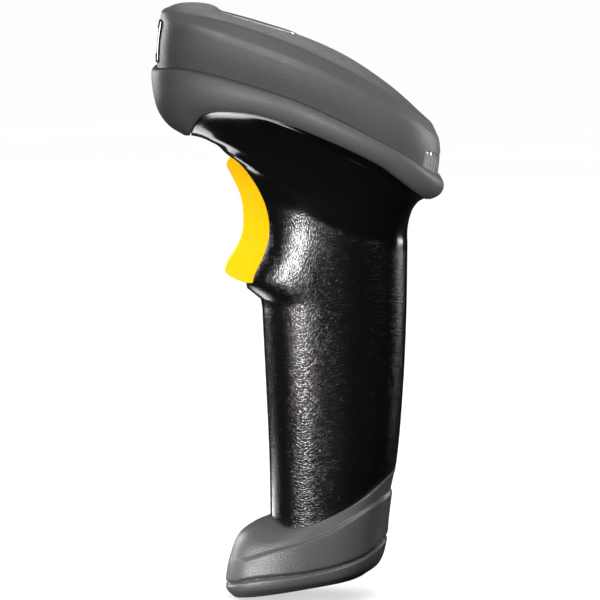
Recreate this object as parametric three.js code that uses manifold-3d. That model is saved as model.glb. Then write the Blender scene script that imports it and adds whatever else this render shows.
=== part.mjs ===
// Handheld barcode scanner: a pistol-grip laser scanner with a corded interface socket in its foot.
//
// Millimetres. +Z runs up along the grip, the scan window looks along -Y, and X = 0 is the plane
// where the two halves of the grip shell meet; +X is the user's left. Everything is drawn from the
// handle datum, the point where the grip's axis crosses the sole. At the end the whole scanner is
// set down so that its origin is the middle of its bounding box, at the lowest point.

import * as THREE from "three";
import { LoftGeometry } from "three/addons/geometries/LoftGeometry.js";
import { mergeVertices } from "three/addons/utils/BufferGeometryUtils.js";
import Module from "manifold-3d";

const wasm = await Module();
wasm.setup();

// ---------------------------------------------------------------- driving dimensions

const GAP = 0.3; // left between pieces that touch
const WALL = 2.2; // moulded wall
const REACH = 60; // a cutter that runs right through
const RING_POINTS = 32; // points round each moulded section
const ROUND = 12; // sides of small round pieces

const SOLE_SLOPE = 0.185; // rise of the sole towards the heel
const GRIP_POWER = 2.35; // squareness of the grip's oval section
const FRONT_POWER = 4.8; // squareness of the head's front corners
const REAR_POWER = 2.35; // roundness of the head's rear end
const HEAD_MIDDLE = -15; // where the head is widest
const NECK_Z = 98; // the grip starts to flare into the head here
const GRIP_END_Z = 4.4; // lower end of the grip shell
const LIP = 4; // shell lip that stands inside the bumper
const RIM = 3; // width of the flat rim left round an open shell before its cavity is cut
const PLUG = 6; // height of the plug inside that rim, which the cavity takes away
const CLEAR = 14; // how far a cavity's cutter runs past an open rim

const TRIGGER_WIDTH = 15;
const TRIGGER_SIDE_PLAY = 0.5;
const PIVOT = { y: -21.5, z: 121.6, radius: 1.2 };
const SWITCH_Z = 112; // the plunger is pressed here

const SOCKET = { width: 12.6, depth: 11, top: 17, cavityWidth: 8.6, cavityDepth: 7.4, cavityTop: 13 };

const WINDOW = { halfWidth: 21, bottom: 150.3, top: 162.7, frame: 2.4 };
const SHELL_SCREWS = [
  [-12.6, 33],
  [-13.4, 74],
  [-33, 136],
  [15.5, 112],
];

// ---------------------------------------------------------------- smooth profiles

// A smooth curve through a few [position, value] pairs, held flat past its ends.
function curveThrough(pairs) {
  const last = pairs.length - 1;
  const slopes = pairs.map((pair, i) => {
    const before = pairs[Math.max(i - 1, 0)];
    const after = pairs[Math.min(i + 1, last)];
    return (after[1] - before[1]) / (after[0] - before[0]);
  });
  return (position) => {
    const at = THREE.MathUtils.clamp(position, pairs[0][0], pairs[last][0]);
    let i = 0;
    while (i < last - 1 && at > pairs[i + 1][0]) i += 1;
    const [start, from] = pairs[i];
    const [end, to] = pairs[i + 1];
    const step = end - start;
    const t = (at - start) / step;
    const a = slopes[i] * step;
    const b = slopes[i + 1] * step;
    const rise = to - from;
    return from + a * t + (3 * rise - 2 * a - b) * t * t + (a + b - 2 * rise) * t * t * t;
  };
}

// Grip: where its front and rear lie and how wide it is, against height.
const gripFront = curveThrough([
  [0, -18.2],
  [33, -18.6],
  [60, -19.8],
  [78, -20.7],
  [81.5, -20.9],
  [84, -24.2],
  [86.5, -26],
  [89, -25.6],
  [94, -22.9],
  [NECK_Z, -21.4],
]);
const gripRear = curveThrough([
  [0, 9.4],
  [9, 11.8],
  [18, 13.6],
  [26, 15.4],
  [33, 17.4],
  [54, 19.3],
  [76, 20.3],
  [NECK_Z, 20.6],
]);
const gripHalfWidth = curveThrough([
  [0, 13.4],
  [14, 14],
  [33, 14.7],
  [76, 15.6],
  [NECK_Z, 16],
]);

// Head: heights of its edges against distance along the scanner.
const bumperEdge = curveThrough([
  [-43, 134.6],
  [-37, 136.6],
  [-30, 137],
  [-21, 135.9],
  [-6, 130.3],
  [11.5, 121.7],
  [20, 115.2],
  [28, 108.4],
]);
const coverEdge = curveThrough([
  [-51, 149],
  [-44, 149.4],
  [-30, 146.4],
  [-9, 139.4],
  [14.5, 127.6],
  [30, 117.6],
]);
const panelEdge = curveThrough([
  [-50, 162.6],
  [-42, 161.8],
  [-27, 157.2],
  [-3, 147.9],
  [20, 135.6],
  [30, 127.8],
]);
const bandEdge = curveThrough([
  [-50, 165],
  [-42, 164.6],
  [-27, 161.4],
  [-6, 153.4],
  [14.5, 142.4],
  [28, 132.4],
]);
const crownRidge = curveThrough([
  [-50, 165.6],
  [-47.4, 167.2],
  [-42, 167.2],
  [-34, 165.8],
  [-12, 158.4],
  [3, 152.2],
  [14.5, 145.5],
  [22, 140],
  [28, 134],
]);
const footEdge = curveThrough([
  [-18.4, 18],
  [-14, 16],
  [-7, 17.4],
  [2, 21.4],
  [10, 26],
  [18, 32.6],
]);
const sole = (y) => y * SOLE_SLOPE;

// ---------------------------------------------------------------- section rings

// A closed plan outline, squarish ahead of its middle and rounder behind it.
function planOutline({ front, rear, halfWidth, middle, frontPower, rearPower }) {
  const ring = [];
  for (let i = 0; i < RING_POINTS; i += 1) {
    const angle = (2 * Math.PI * i) / RING_POINTS;
    const forward = Math.cos(angle);
    const sideways = Math.sin(angle);
    const power = 2 / (forward > 0 ? frontPower : rearPower);
    const reach = forward > 0 ? front - middle : rear - middle;
    const y = middle + reach * Math.abs(forward) ** power;
    const x = halfWidth * Math.sign(sideways) * Math.abs(sideways) ** power;
    ring.push(new THREE.Vector3(x, y, 0));
  }
  return ring;
}

const headOutline = (front, rear, halfWidth) =>
  planOutline({
    front,
    rear,
    halfWidth,
    middle: HEAD_MIDDLE,
    frontPower: FRONT_POWER,
    rearPower: REAR_POWER,
  });

const withHeight = (ring, heightOf) => ring.map((p, i) => new THREE.Vector3(p.x, p.y, heightOf(p, i)));
const raised = (ring, by) => withHeight(ring, (p) => p.z + by);
const between = (low, high, share) => (p, i) => THREE.MathUtils.lerp(low[i].z, high[i].z, share);

function loft(rings) {
  return new LoftGeometry(rings, { capStart: true, capEnd: true });
}

function gripRing(z, inset) {
  const outline = planOutline({
    front: gripFront(z) + inset,
    rear: gripRear(z) - inset,
    halfWidth: gripHalfWidth(z) - inset,
    middle: 0,
    frontPower: GRIP_POWER,
    rearPower: GRIP_POWER,
  });
  return withHeight(outline, () => z);
}

// Lower edge of the head, which dips to a chin at the middle of the front.
const CHIN_DIP = 6;
function bellyRim(inset) {
  const outline = headOutline(-41.4 + inset, 25.6 - inset, 30.2 - inset);
  return withHeight(outline, (p, i) => {
    const ahead = Math.max(Math.cos((2 * Math.PI * i) / RING_POINTS), 0);
    return bumperEdge(p.y) - CHIN_DIP * ahead ** 5 + inset;
  });
}

// One ring of the flare between the neck and the rim of the head's belly.
function flareRing(neck, rim, share) {
  const rest = 1 - share;
  return neck.map((low, i) => {
    const across = new THREE.Vector3().subVectors(rim[i], low);
    const lift = across.z;
    across.z = 0;
    const start = low.clone().addScaledVector(across, -0.13);
    start.z += 0.46 * lift;
    const end = rim[i].clone().addScaledVector(across, -0.56);
    end.z -= 0.05 * lift;
    return new THREE.Vector3()
      .addScaledVector(low, rest ** 3)
      .addScaledVector(start, 3 * rest * rest * share)
      .addScaledVector(end, 3 * rest * share * share)
      .addScaledVector(rim[i], share ** 3);
  });
}

const GRIP_LEVELS = [12, 20, 27, 33, 44, 60, 76, 80, 82, 83.5, 85, 87, 89, 92, NECK_Z];
const FLARE_SHARES = [0.15, 0.3, 0.45, 0.6, 0.75, 0.88, 1];

// The grip and the belly of the head as one form, from its lower end to the lip in the bumper.
function gripForm(inset, bottom, lip) {
  const neck = gripRing(NECK_Z, inset);
  const rim = bellyRim(inset);
  return loft([
    gripRing(bottom, inset),
    ...GRIP_LEVELS.map((z) => gripRing(z, inset)),
    ...FLARE_SHARES.map((share) => flareRing(neck, rim, share)),
    raised(rim, lip),
  ]);
}

// ---------------------------------------------------------------- solids

function solidOf(geometry) {
  const bare = geometry.index ? geometry.toNonIndexed() : geometry.clone();
  bare.deleteAttribute("normal");
  bare.deleteAttribute("uv");
  const merged = mergeVertices(bare, 1e-4);
  const mesh = new wasm.Mesh({
    numProp: 3,
    vertProperties: merged.attributes.position.array,
    triVerts: new Uint32Array(merged.index.array),
  });
  return new wasm.Manifold(mesh);
}

function geometryOf(solid) {
  const mesh = solid.getMesh();
  const geometry = new THREE.BufferGeometry();
  geometry.setAttribute("position", new THREE.BufferAttribute(mesh.vertProperties, mesh.numProp));
  geometry.setIndex(new THREE.BufferAttribute(mesh.triVerts, 1));
  geometry.computeVertexNormals();
  return geometry;
}

// A box given by its lowest and highest corners.
function box([x0, y0, z0], [x1, y1, z1]) {
  const geometry = new THREE.BoxGeometry(x1 - x0, y1 - y0, z1 - z0);
  return solidOf(geometry.translate((x0 + x1) / 2, (y0 + y1) / 2, (z0 + z1) / 2));
}

const TURN_TO = {
  x: (geometry) => geometry.rotateZ(-Math.PI / 2),
  y: (geometry) => geometry,
  z: (geometry) => geometry.rotateX(Math.PI / 2),
};

// A round bar along one axis, centred on a point.
function rod(axis, radius, length, [x, y, z]) {
  const geometry = new THREE.CylinderGeometry(radius, radius, length, ROUND);
  return solidOf(TURN_TO[axis](geometry).translate(x, y, z));
}

// A round bar along X from one x to another.
const rodAcross = (radius, from, to, y, z) => rod("x", radius, to - from, [(from + to) / 2, y, z]);

// A YZ outline pushed out along X, centred on X = 0.
function sidePlate(outline, width) {
  const geometry = new THREE.ExtrudeGeometry(outline, {
    depth: width,
    bevelEnabled: false,
    curveSegments: 3,
  });
  geometry.translate(0, 0, -width / 2);
  // Outline x becomes Y, outline y becomes Z and the depth becomes X.
  return solidOf(geometry.applyMatrix4(new THREE.Matrix4().makeBasis(
    new THREE.Vector3(0, 1, 0),
    new THREE.Vector3(0, 0, 1),
    new THREE.Vector3(1, 0, 0),
  )));
}

// A tube along a curve through the given points.
function tube(points, radius, steps) {
  const section = new THREE.Shape();
  section.absarc(0, 0, radius, 0, 2 * Math.PI);
  const path = new THREE.CatmullRomCurve3(points.map((p) => new THREE.Vector3(...p)));
  return solidOf(new THREE.ExtrudeGeometry(section, {
    extrudePath: path,
    steps,
    curveSegments: 4,
    bevelEnabled: false,
  }));
}

// ---------------------------------------------------------------- the scanner's nodes

const scanner = new THREE.Group();

const FINISHES = {
  greyPlastic: { color: 0x626365, roughness: 0.55, metalness: 0 },
  blackPlastic: { color: 0x0c0c0d, roughness: 0.35, metalness: 0 },
  greyRubber: { color: 0x6d6e70, roughness: 0.75, metalness: 0 },
  yellowPlastic: { color: 0xf6c606, roughness: 0.25, metalness: 0 },
  darkWindow: { color: 0x1a0406, roughness: 0.05, metalness: 0 },
  clearPlastic: { color: 0xc9cccf, roughness: 0.08, metalness: 0 },
  board: { color: 0x1c4a2c, roughness: 0.5, metalness: 0 },
  chip: { color: 0x17181a, roughness: 0.5, metalness: 0 },
  steel: { color: 0xa9abad, roughness: 0.3, metalness: 1 },
  brass: { color: 0xb08d4a, roughness: 0.35, metalness: 1 },
  copper: { color: 0xa85a32, roughness: 0.4, metalness: 1 },
  mirror: { color: 0xdfe3e6, roughness: 0.03, metalness: 1 },
  castAlloy: { color: 0x6f7275, roughness: 0.5, metalness: 1 },
  cable: { color: 0x1a1a1c, roughness: 0.6, metalness: 0 },
};

function add(name, solid, finish) {
  const mesh = new THREE.Mesh(geometryOf(solid), new THREE.MeshStandardMaterial(FINISHES[finish]));
  mesh.name = name;
  scanner.add(mesh);
}

// ---------------------------------------------------------------- grip shell

// The side outline of the trigger: hollow towards the finger, with an eye for the pivot pin.
function triggerOutline(grow = 0) {
  const outline = new THREE.Shape();
  outline.moveTo(-30.4 - grow, 120.4 + grow);
  outline.splineThru([
    new THREE.Vector2(-27.4 - grow, 115.4),
    new THREE.Vector2(-25.5 - grow, 108),
    new THREE.Vector2(-26 - grow, 99.5),
    new THREE.Vector2(-30.5 - grow, 91),
  ]);
  outline.lineTo(-29.8 - grow, 89.6 - grow);
  outline.lineTo(-24.6, 87.9 - grow);
  outline.lineTo(-21.6 + grow, 88.6 - grow);
  outline.splineThru([
    new THREE.Vector2(-18.6 + grow, 95),
    new THREE.Vector2(-16.8 + grow, 104),
    new THREE.Vector2(-16.7 + grow, SWITCH_Z),
    new THREE.Vector2(-18 + grow, 119),
  ]);
  outline.absarc(PIVOT.y, PIVOT.z, 3.4 + grow, -0.7, 2.1, false);
  return outline;
}

const gripOuter = solidOf(gripForm(0, GRIP_END_Z, LIP));
const gripInner = solidOf(gripForm(WALL, GRIP_END_Z - 2, LIP + 6));

function shellPost(radius, y, z) {
  return rod("x", radius, REACH, [0, y, z]).intersect(gripOuter);
}

function enginePost(x, y, top) {
  return rod("z", 2.6, 40, [x, y, top - 20]).intersect(gripOuter);
}

const ENGINE = { floor: 141.5, back: -10, front: -40, halfWidth: 17 };
const ENGINE_SCREW = { x: 12.4, y: -25 };

function gripShells() {
  let shell = gripOuter.subtract(gripInner);
  for (const [y, z] of SHELL_SCREWS) shell = shell.add(shellPost(3, y, z));
  shell = shell.add(shellPost(2.6, PIVOT.y, PIVOT.z));
  for (const side of [-1, 1]) {
    shell = shell.add(enginePost(side * ENGINE_SCREW.x, ENGINE_SCREW.y, ENGINE.floor - GAP));
    shell = shell.subtract(rod("z", 1.3, 12, [side * ENGINE_SCREW.x, ENGINE_SCREW.y, ENGINE.floor]));
  }

  // The slot for the trigger, the pivot pin's holes and the screws' holes.
  const slotWidth = TRIGGER_WIDTH + 2 * TRIGGER_SIDE_PLAY;
  const travel = solidOf(new THREE.BoxGeometry(slotWidth, 14, 33).translate(0, -17.4, 104.6));
  shell = shell.subtract(sidePlate(triggerOutline(0.8), slotWidth)).subtract(travel);
  shell = shell.subtract(rodAcross(PIVOT.radius + GAP, -11.5, 11.5, PIVOT.y, PIVOT.z));
  for (const [y, z] of SHELL_SCREWS) {
    shell = shell.subtract(rodAcross(1.3, -REACH / 2, 7, y, z));
    shell = shell.subtract(rodAcross(2.6, -REACH / 2, -6, y, z));
  }
  const half = GAP / 2;
  const leftSide = box([half, -REACH, -REACH], [REACH, REACH, 4 * REACH]);
  const rightSide = box([-REACH, -REACH, -REACH], [-half, REACH, 4 * REACH]);
  add("grip_shell_left", shell.intersect(leftSide), "blackPlastic");
  add("grip_shell_right", shell.intersect(rightSide), "blackPlastic");

  SHELL_SCREWS.forEach(([y, z], i) => {
    const head = rodAcross(2.2, -8, -6 - GAP, y, z);
    const shank = rodAcross(1, -6.5, 6, y, z);
    const recess = rodAcross(1, -REACH / 2, -7.2, y, z);
    add(`shell_screw_${i + 1}`, head.add(shank).subtract(recess), "steel");
  });
}

// ---------------------------------------------------------------- head

const coverEdgeRing = withHeight(headOutline(-51.1, 29.8, 32.4), (p) => coverEdge(p.y));

// Bumper sections from the lower edge to the step under the cover: front, rear, half width and
// how far up the section lies.
const BUMPER_SECTIONS = [
  [-43.2, 27.8, 31.9, 0],
  [-47.8, 30, 33, 0.15],
  [-50.9, 31.2, 33.7, 0.37],
  [-52.3, 31.4, 34, 0.64],
  [-52.8, 30.4, 33.6, 0.93],
  [-51.8, 29.8, 32.8, 1],
];

function headBumper(rearNotch) {
  const lower = bellyRim(0);
  const ring = ([front, rear, halfWidth, share], inset) =>
    withHeight(headOutline(front + inset, rear - inset, halfWidth - inset), between(lower, coverEdgeRing, share));
  const outer = BUMPER_SECTIONS.map((section) => ring(section, 0));
  const lowerRim = ring(BUMPER_SECTIONS[0], RIM);
  const upperRim = ring(BUMPER_SECTIONS.at(-1), RIM);
  outer.unshift(raised(lowerRim, -PLUG), lowerRim);
  outer.push(upperRim, raised(upperRim, PLUG));
  const mouth = headOutline(-41.4 - GAP, 25.6 + GAP, 30.2 + GAP);
  const mouthRing = withHeight(mouth, (p, i) => lower[i].z);
  const inner = BUMPER_SECTIONS.slice(1).map((section) => ring(section, WALL));
  const opening = loft([raised(mouthRing, -CLEAR), mouthRing, ...inner, raised(inner.at(-1), CLEAR)]);
  const bumper = solidOf(loft(outer)).subtract(solidOf(opening)).subtract(rearNotch);
  add("head_bumper", bumper, "greyPlastic");
}

// Shares of the plan outline at which the crown's rings lie, from the band towards the ridge.
const CROWN_SHARES = [0.94, 0.85, 0.68, 0.45, 0.18];

// The form of the head above the bumper, grown outwards or shrunk by a distance.
function coverForm(grow, below) {
  const sized = (front, rear, halfWidth) => headOutline(front - grow, rear + grow, halfWidth + grow);
  const bottom = withHeight(sized(-51.1, 29.8, 32.4), (p, i) => coverEdgeRing[i].z + GAP);
  const panel = withHeight(sized(-50.1, 30.1, 31.2), (p) => panelEdge(p.y));
  const band = withHeight(sized(-50, 28, 27.6), (p) => bandEdge(p.y) + grow);
  const crown = CROWN_SHARES.map((share) => band.map((p, i) => {
    const y = HEAD_MIDDLE + (p.y - HEAD_MIDDLE) * share;
    const ahead = Math.max(Math.cos((2 * Math.PI * i) / RING_POINTS), 0);
    const swell = 1 - share ** (2.4 + 7 * ahead * ahead);
    const z = THREE.MathUtils.lerp(bandEdge(y), crownRidge(y), swell) + grow;
    return new THREE.Vector3(p.x * share, y, z);
  }));
  const rim = withHeight(sized(-51.1 + RIM, 29.8 - RIM, 32.4 - RIM), (p, i) => bottom[i].z);
  const start = below > 0 ? [raised(bottom, -below)] : [raised(rim, -PLUG), rim];
  return solidOf(loft([...start, bottom, panel, band, ...crown]));
}

// The notch at the rear of the head where the light shows through.
function rearNotchBox(shrink, drop = 0) {
  const size = [35 - 2 * shrink, 14, 6.2 - 2 * shrink];
  const notch = new THREE.BoxGeometry(...size);
  return solidOf(notch.rotateX(-0.32).translate(0, 31.4, 120.2 - drop));
}

// A lozenge seen from above, for the recessed plate on the crown.
function crownLozenge(shrink) {
  const outline = new THREE.Shape();
  const [front, rear, side] = [-33.4 + shrink, -11 - shrink, 9 - shrink];
  outline.moveTo(0, front);
  outline.bezierCurveTo(side, front, side, front + 6, side, (front + rear) / 2);
  outline.bezierCurveTo(side, rear - 2, side * 0.5, rear, 0, rear);
  outline.bezierCurveTo(-side * 0.5, rear, -side, rear - 2, -side, (front + rear) / 2);
  outline.bezierCurveTo(-side, front + 6, -side, front, 0, front);
  const geometry = new THREE.ExtrudeGeometry(outline, { depth: 40, bevelEnabled: false, curveSegments: 6 });
  return solidOf(geometry.translate(0, 0, 145));
}

function windowOpening(shrink) {
  const { halfWidth, bottom, top } = WINDOW;
  return box([-halfWidth + shrink, -REACH, bottom + shrink], [halfWidth - shrink, -42, top - shrink]);
}

function head() {
  headBumper(rearNotchBox(0));
  const form = coverForm(0, 0);
  const cavity = coverForm(-WALL, CLEAR);
  let cover = form.subtract(cavity);
  cover = cover.subtract(rearNotchBox(0)).subtract(rearNotchBox(0, 4));
  cover = cover.subtract(windowOpening(0)).subtract(crownLozenge(0));
  add("top_cover", cover, "greyPlastic");

  const proud = coverForm(0.4, 0);
  const bezel = proud.subtract(coverForm(-2.6, CLEAR)).intersect(windowOpening(GAP));
  const glassHole = windowOpening(WINDOW.frame);
  add("window_bezel", bezel.subtract(glassHole), "blackPlastic");
  const glass = coverForm(-0.2, 0).subtract(coverForm(-1.7, CLEAR)).intersect(windowOpening(WINDOW.frame + GAP));
  add("scan_window", glass, "darkWindow");

  const plate = coverForm(-0.9, 0).subtract(coverForm(-WALL, CLEAR)).intersect(crownLozenge(GAP));
  add("status_lens", plate, "clearPlastic");

  const lensOuter = coverForm(-0.3, 9);
  const lensInner = coverForm(-2.1, 12);
  add("rear_lens", lensOuter.subtract(lensInner).intersect(rearNotchBox(GAP)), "clearPlastic");
}

// ---------------------------------------------------------------- foot and cable socket

// Foot sections from the sole to the collar round the grip: front, rear, half width and share.
const FOOT_SECTIONS = [
  [-29.4, 8.6, 15.4, 0],
  [-31.6, 12.4, 17.2, 0.1],
  [-31.6, 14.4, 17.6, 0.28],
  [-30.4, 15.2, 17.2, 0.52],
  [-27.8, 16.2, 16.6, 0.78],
  [-23.4, 17.1, 16, 0.92],
  [-18.9, 17.8, 15.6, 1],
];

function foot() {
  const outlineOf = ([front, rear, halfWidth]) =>
    planOutline({ front, rear, halfWidth, middle: -2, frontPower: 2.5, rearPower: GRIP_POWER });
  const lower = withHeight(outlineOf(FOOT_SECTIONS[0]), (p) => sole(p.y));
  const upper = withHeight(outlineOf(FOOT_SECTIONS.at(-1)), (p) => footEdge(p.y));
  const rings = FOOT_SECTIONS.map((section) =>
    withHeight(outlineOf(section), between(lower, upper, section[3])));
  const collar = outlineOf([-18.9 + RIM, 17.8 - RIM, 15.6 - RIM]);
  const rim = withHeight(collar, (p, i) => upper[i].z);
  rings.push(rim, raised(rim, PLUG));
  const pocket = solidOf(gripForm(-GAP, GRIP_END_Z - GAP, LIP));
  const { width, depth } = SOCKET;
  const port = box(
    [-width / 2 - GAP, -depth / 2 - GAP, -20],
    [width / 2 + GAP, depth / 2 + GAP, 20],
  );
  add("base_foot", solidOf(loft(rings)).subtract(pocket).subtract(port), "greyRubber");
}

function cableSocket() {
  const { width, depth, top, cavityWidth, cavityDepth, cavityTop } = SOCKET;
  const body = box([-width / 2, -depth / 2, 0], [width / 2, depth / 2, top]);
  const cavity = box([-cavityWidth / 2, -cavityDepth / 2, -5], [cavityWidth / 2, cavityDepth / 2, cavityTop]);
  const latchSlot = box([-2.2, -depth / 2 + 0.8, -5], [2.2, 0, 8]);
  const face = solidOf(new THREE.BoxGeometry(40, 40, 10).translate(0, 0, -4.4).rotateX(Math.atan(SOLE_SLOPE)));
  add("cable_socket", body.subtract(cavity).subtract(latchSlot).subtract(face), "chip");
}

// ---------------------------------------------------------------- trigger group

function triggerGroup() {
  const blade = sidePlate(triggerOutline(), TRIGGER_WIDTH);
  const eye = rodAcross(PIVOT.radius + 0.08, -REACH, REACH, PIVOT.y, PIVOT.z);
  const springRoom = rodAcross(3.9, -3.6, 3.6, PIVOT.y, PIVOT.z);
  add("trigger", blade.subtract(eye).subtract(springRoom), "yellowPlastic");
  add("trigger_pin", rodAcross(PIVOT.radius, -11, 11, PIVOT.y, PIVOT.z), "steel");

  // Torsion spring round the pin, with its leg towards the rear.
  const turns = 4;
  const points = [];
  for (let i = 0; i <= turns * 12; i += 1) {
    const angle = (i / 12) * 2 * Math.PI - 0.2;
    const x = -2.6 + (i / (turns * 12)) * 5.2;
    points.push([x, PIVOT.y + 2.4 * Math.cos(angle), PIVOT.z + 2.4 * Math.sin(angle)]);
  }
  add("trigger_spring", tube(points, 0.45, 56), "steel");

  add("trigger_board", box([-8, -8.4, 102], [8, -7, 119]), "board");
  const body = box([-3.2, -14.8, 108], [3.2, -8.4 - GAP, 117]);
  const plungerHole = box([-1.6, -20, SWITCH_Z - 1.6], [1.6, -11, SWITCH_Z + 1.6]);
  add("switch_body", body.subtract(plungerHole), "chip");
  add("switch_plunger", box([-1.2, -16.3, SWITCH_Z - 1.2], [1.2, -12.4, SWITCH_Z + 1.2]), "clearPlastic");
}

// ---------------------------------------------------------------- boards in the grip

const BOARD = { back: -8.4, front: -6.8, rear: 10, nose: -8.6, bottom: 27, top: 96 };

function mainBoard() {
  const { back, front, rear, nose, bottom, top } = BOARD;
  const face = front + GAP;
  let board = box([back, nose, bottom], [front, rear, top]);
  const holes = [[7.6, 30.6], [7.6, 91]];
  for (const [y, z] of holes) board = board.subtract(rodAcross(1.3, -REACH, REACH, y, z));
  add("main_board", board, "board");
  add("decoder_chip", box([face, -5, 66], [face + 1.4, 7, 78]), "chip");
  add("interface_chip", box([face, -4, 39], [face + 1.4, 4, 46.5]), "chip");
  add("crystal_can", box([face, -6, 56], [face + 2.4, -2, 64]), "steel");
  add("cable_connector", box([face, -5, 84], [face + 5, 5, 90]), "clearPlastic");
  add("beeper", rodAcross(5.6, face, face + 6, 5.4, 53).subtract(rodAcross(1, face + 4, REACH, 5.4, 53)), "chip");
  [31, 35].forEach((z, i) => {
    add(`capacitor_${i + 1}`, rodAcross(1.9, face, face + 5.6, -3 + 6 * i, z), "steel");
  });
  holes.forEach(([y, z], i) => {
    const head = rodAcross(2, face, face + 1.4, y, z);
    add(`board_screw_${i + 1}`, head.add(rodAcross(1, back - 1.2, face + 0.5, y, z)), "steel");
  });
}

// ---------------------------------------------------------------- laser engine

const MIRROR = { x: -4, y: -24, turn: Math.PI / 4 };

// Places a shape drawn round the mirror's own axis: +X of the drawing looks out of the glass.
const atMirror = (geometry) => geometry.rotateZ(-MIRROR.turn).translate(MIRROR.x, MIRROR.y, 0);

function engine() {
  const { floor, back, front, halfWidth } = ENGINE;
  const top = floor + 11;
  let tray = box([-halfWidth, front, floor], [halfWidth, back, floor + 2]);
  tray = tray.add(box([-halfWidth, front + 6, floor], [-halfWidth + 2, back, top - 2]));
  tray = tray.add(box([halfWidth - 2, front + 6, floor], [halfWidth, back, top - 2]));
  tray = tray.add(box([-halfWidth, back - 2, floor], [halfWidth, back, top - 3]));
  for (const side of [-1, 1]) {
    tray = tray.subtract(rod("z", 1.3, 10, [side * ENGINE_SCREW.x, ENGINE_SCREW.y, floor]));
  }
  const shaftHole = solidOf(atMirror(new THREE.CylinderGeometry(0.9, 0.9, 10, ROUND)
    .rotateX(Math.PI / 2).translate(-2.4, 0, floor)));
  add("engine_chassis", tray.subtract(shaftHole), "castAlloy");
  for (const side of [-1, 1]) {
    const x = side * ENGINE_SCREW.x;
    const head = rod("z", 2, 1.4, [x, ENGINE_SCREW.y, floor + 2 + GAP + 0.7]);
    const shank = rod("z", 1, 6, [x, ENGINE_SCREW.y, floor + 0.5]);
    add(side < 0 ? "engine_screw_right" : "engine_screw_left", head.add(shank), "steel");
  }

  const beam = floor + 7.5;
  const barrel = rod("x", 3.4, 8, [8.2, MIRROR.y, beam]);
  add("laser_barrel", barrel.subtract(rod("x", 1.4, 4, [4.2, MIRROR.y, beam])), "brass");

  const glass = new THREE.BoxGeometry(1.2, 9, 6.6).translate(0, 0, beam);
  const hub = new THREE.CylinderGeometry(1.6, 1.6, 6.6, ROUND).rotateX(Math.PI / 2).translate(-2.4, 0, beam);
  const web = new THREE.BoxGeometry(2, 2, 6.6).translate(-1, 0, beam);
  const bore = new THREE.CylinderGeometry(0.78, 0.78, 20, ROUND).rotateX(Math.PI / 2).translate(-2.4, 0, beam);
  const arm = new THREE.BoxGeometry(3, 2, 3).translate(-4.8, 0, beam);
  const carrier = [glass, hub, web, arm].map((g) => solidOf(atMirror(g))).reduce((a, b) => a.add(b));
  add("scan_mirror", carrier.subtract(solidOf(atMirror(bore))), "mirror");
  const shaft = new THREE.CylinderGeometry(0.7, 0.7, 11.6, ROUND).rotateX(Math.PI / 2)
    .translate(-2.4, 0, floor + 5.8);
  add("mirror_shaft", solidOf(atMirror(shaft)), "steel");
  const magnet = new THREE.BoxGeometry(1.6, 3.4, 3.4).translate(-6.3 - 0.8 - GAP / 3, 0, beam);
  add("mirror_magnet", solidOf(atMirror(magnet)), "steel");

  const winding = [[1.6, -1], [3, -1], [3, 1], [1.6, 1], [1.6, -1]].map((p) => new THREE.Vector2(...p));
  const coil = new THREE.LatheGeometry(winding, ROUND).rotateZ(-Math.PI / 2).translate(-10.6, 0, beam);
  add("drive_coil", solidOf(atMirror(coil)), "copper");

  // Receiver: a lens in front of a photodiode on its own little board.
  const lensFace = [[0, -1.2], [5, -1.2], [5, 0], [3.8, 0.9], [2, 1.5], [0, 1.7]];
  const lens = new THREE.LatheGeometry(lensFace.map((p) => new THREE.Vector2(...p)), ROUND);
  add("collector_lens", solidOf(lens.rotateX(Math.PI).translate(8, -35.4, beam)), "clearPlastic");
  add("photodiode_board", box([2, -29.4, floor + 2 + GAP], [11, -28.4, floor + 11]), "board");
  add("photodiode", box([6, -31.2, beam - 2], [10, -29.4 - GAP, beam + 2]), "chip");
  add("engine_board", box([-16, back + GAP, floor], [16, back + GAP + 1.4, floor + 11]), "board");
}

// ---------------------------------------------------------------- indicators and wiring

function indicators() {
  const slope = -0.3;
  const board = new THREE.BoxGeometry(10, 14, 1).rotateX(slope).translate(0, -22, 157.6);
  add("led_board", solidOf(board), "board");
  const lamp = new THREE.CylinderGeometry(1.4, 1.6, 1.2, ROUND).rotateX(Math.PI / 2 + slope)
    .translate(0, -21.7, 158.7);
  add("status_led", solidOf(lamp), "clearPlastic");
  add("rear_led_board", box([-6, 22.8, 117.6], [6, 23.8, 124.6]), "board");
  add("rear_led", box([-1.6, 23.8 + GAP, 119.6], [1.6, 25.4, 122.6]), "clearPlastic");
}

function wiring() {
  const engineCable = [
    [0, -5.6, 146],
    [0, -1.5, 140],
    [-1, 2, 126],
    [-2.5, 3, 108],
    [-3.8, 0.6, 96],
    [-3.8, 0, 90 + GAP],
  ];
  add("engine_cable", tube(engineCable, 1.3, 36), "cable");
  const triggerCable = [
    [4, -6.2, 104],
    [4, -3.6, 101],
    [1, -3, 96],
    [-3.6, -3, 90.6],
  ];
  add("trigger_cable", tube(triggerCable, 0.8, 24), "cable");
}

gripShells();
head();
foot();
cableSocket();
triggerGroup();
mainBoard();
engine();
indicators();
wiring();

// The origin is the middle of the bounding box at its lowest point.
const bounds = new THREE.Box3().setFromObject(scanner);
const middle = bounds.getCenter(new THREE.Vector3());
scanner.position.set(0, -middle.y, -bounds.min.z);

export default scanner;
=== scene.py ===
"""Handheld barcode scanner: the visible pieces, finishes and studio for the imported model.

Lengths in this file are millimetres from the handle datum, the point where the grip's axis
crosses the sole: +Z up the grip, -Y out of the scan window, +X to the user's left.
"""

import math

import bmesh
import bpy
from bpy.props import FloatProperty, FloatVectorProperty, IntProperty, PointerProperty
from mathutils import Matrix, Vector


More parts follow.
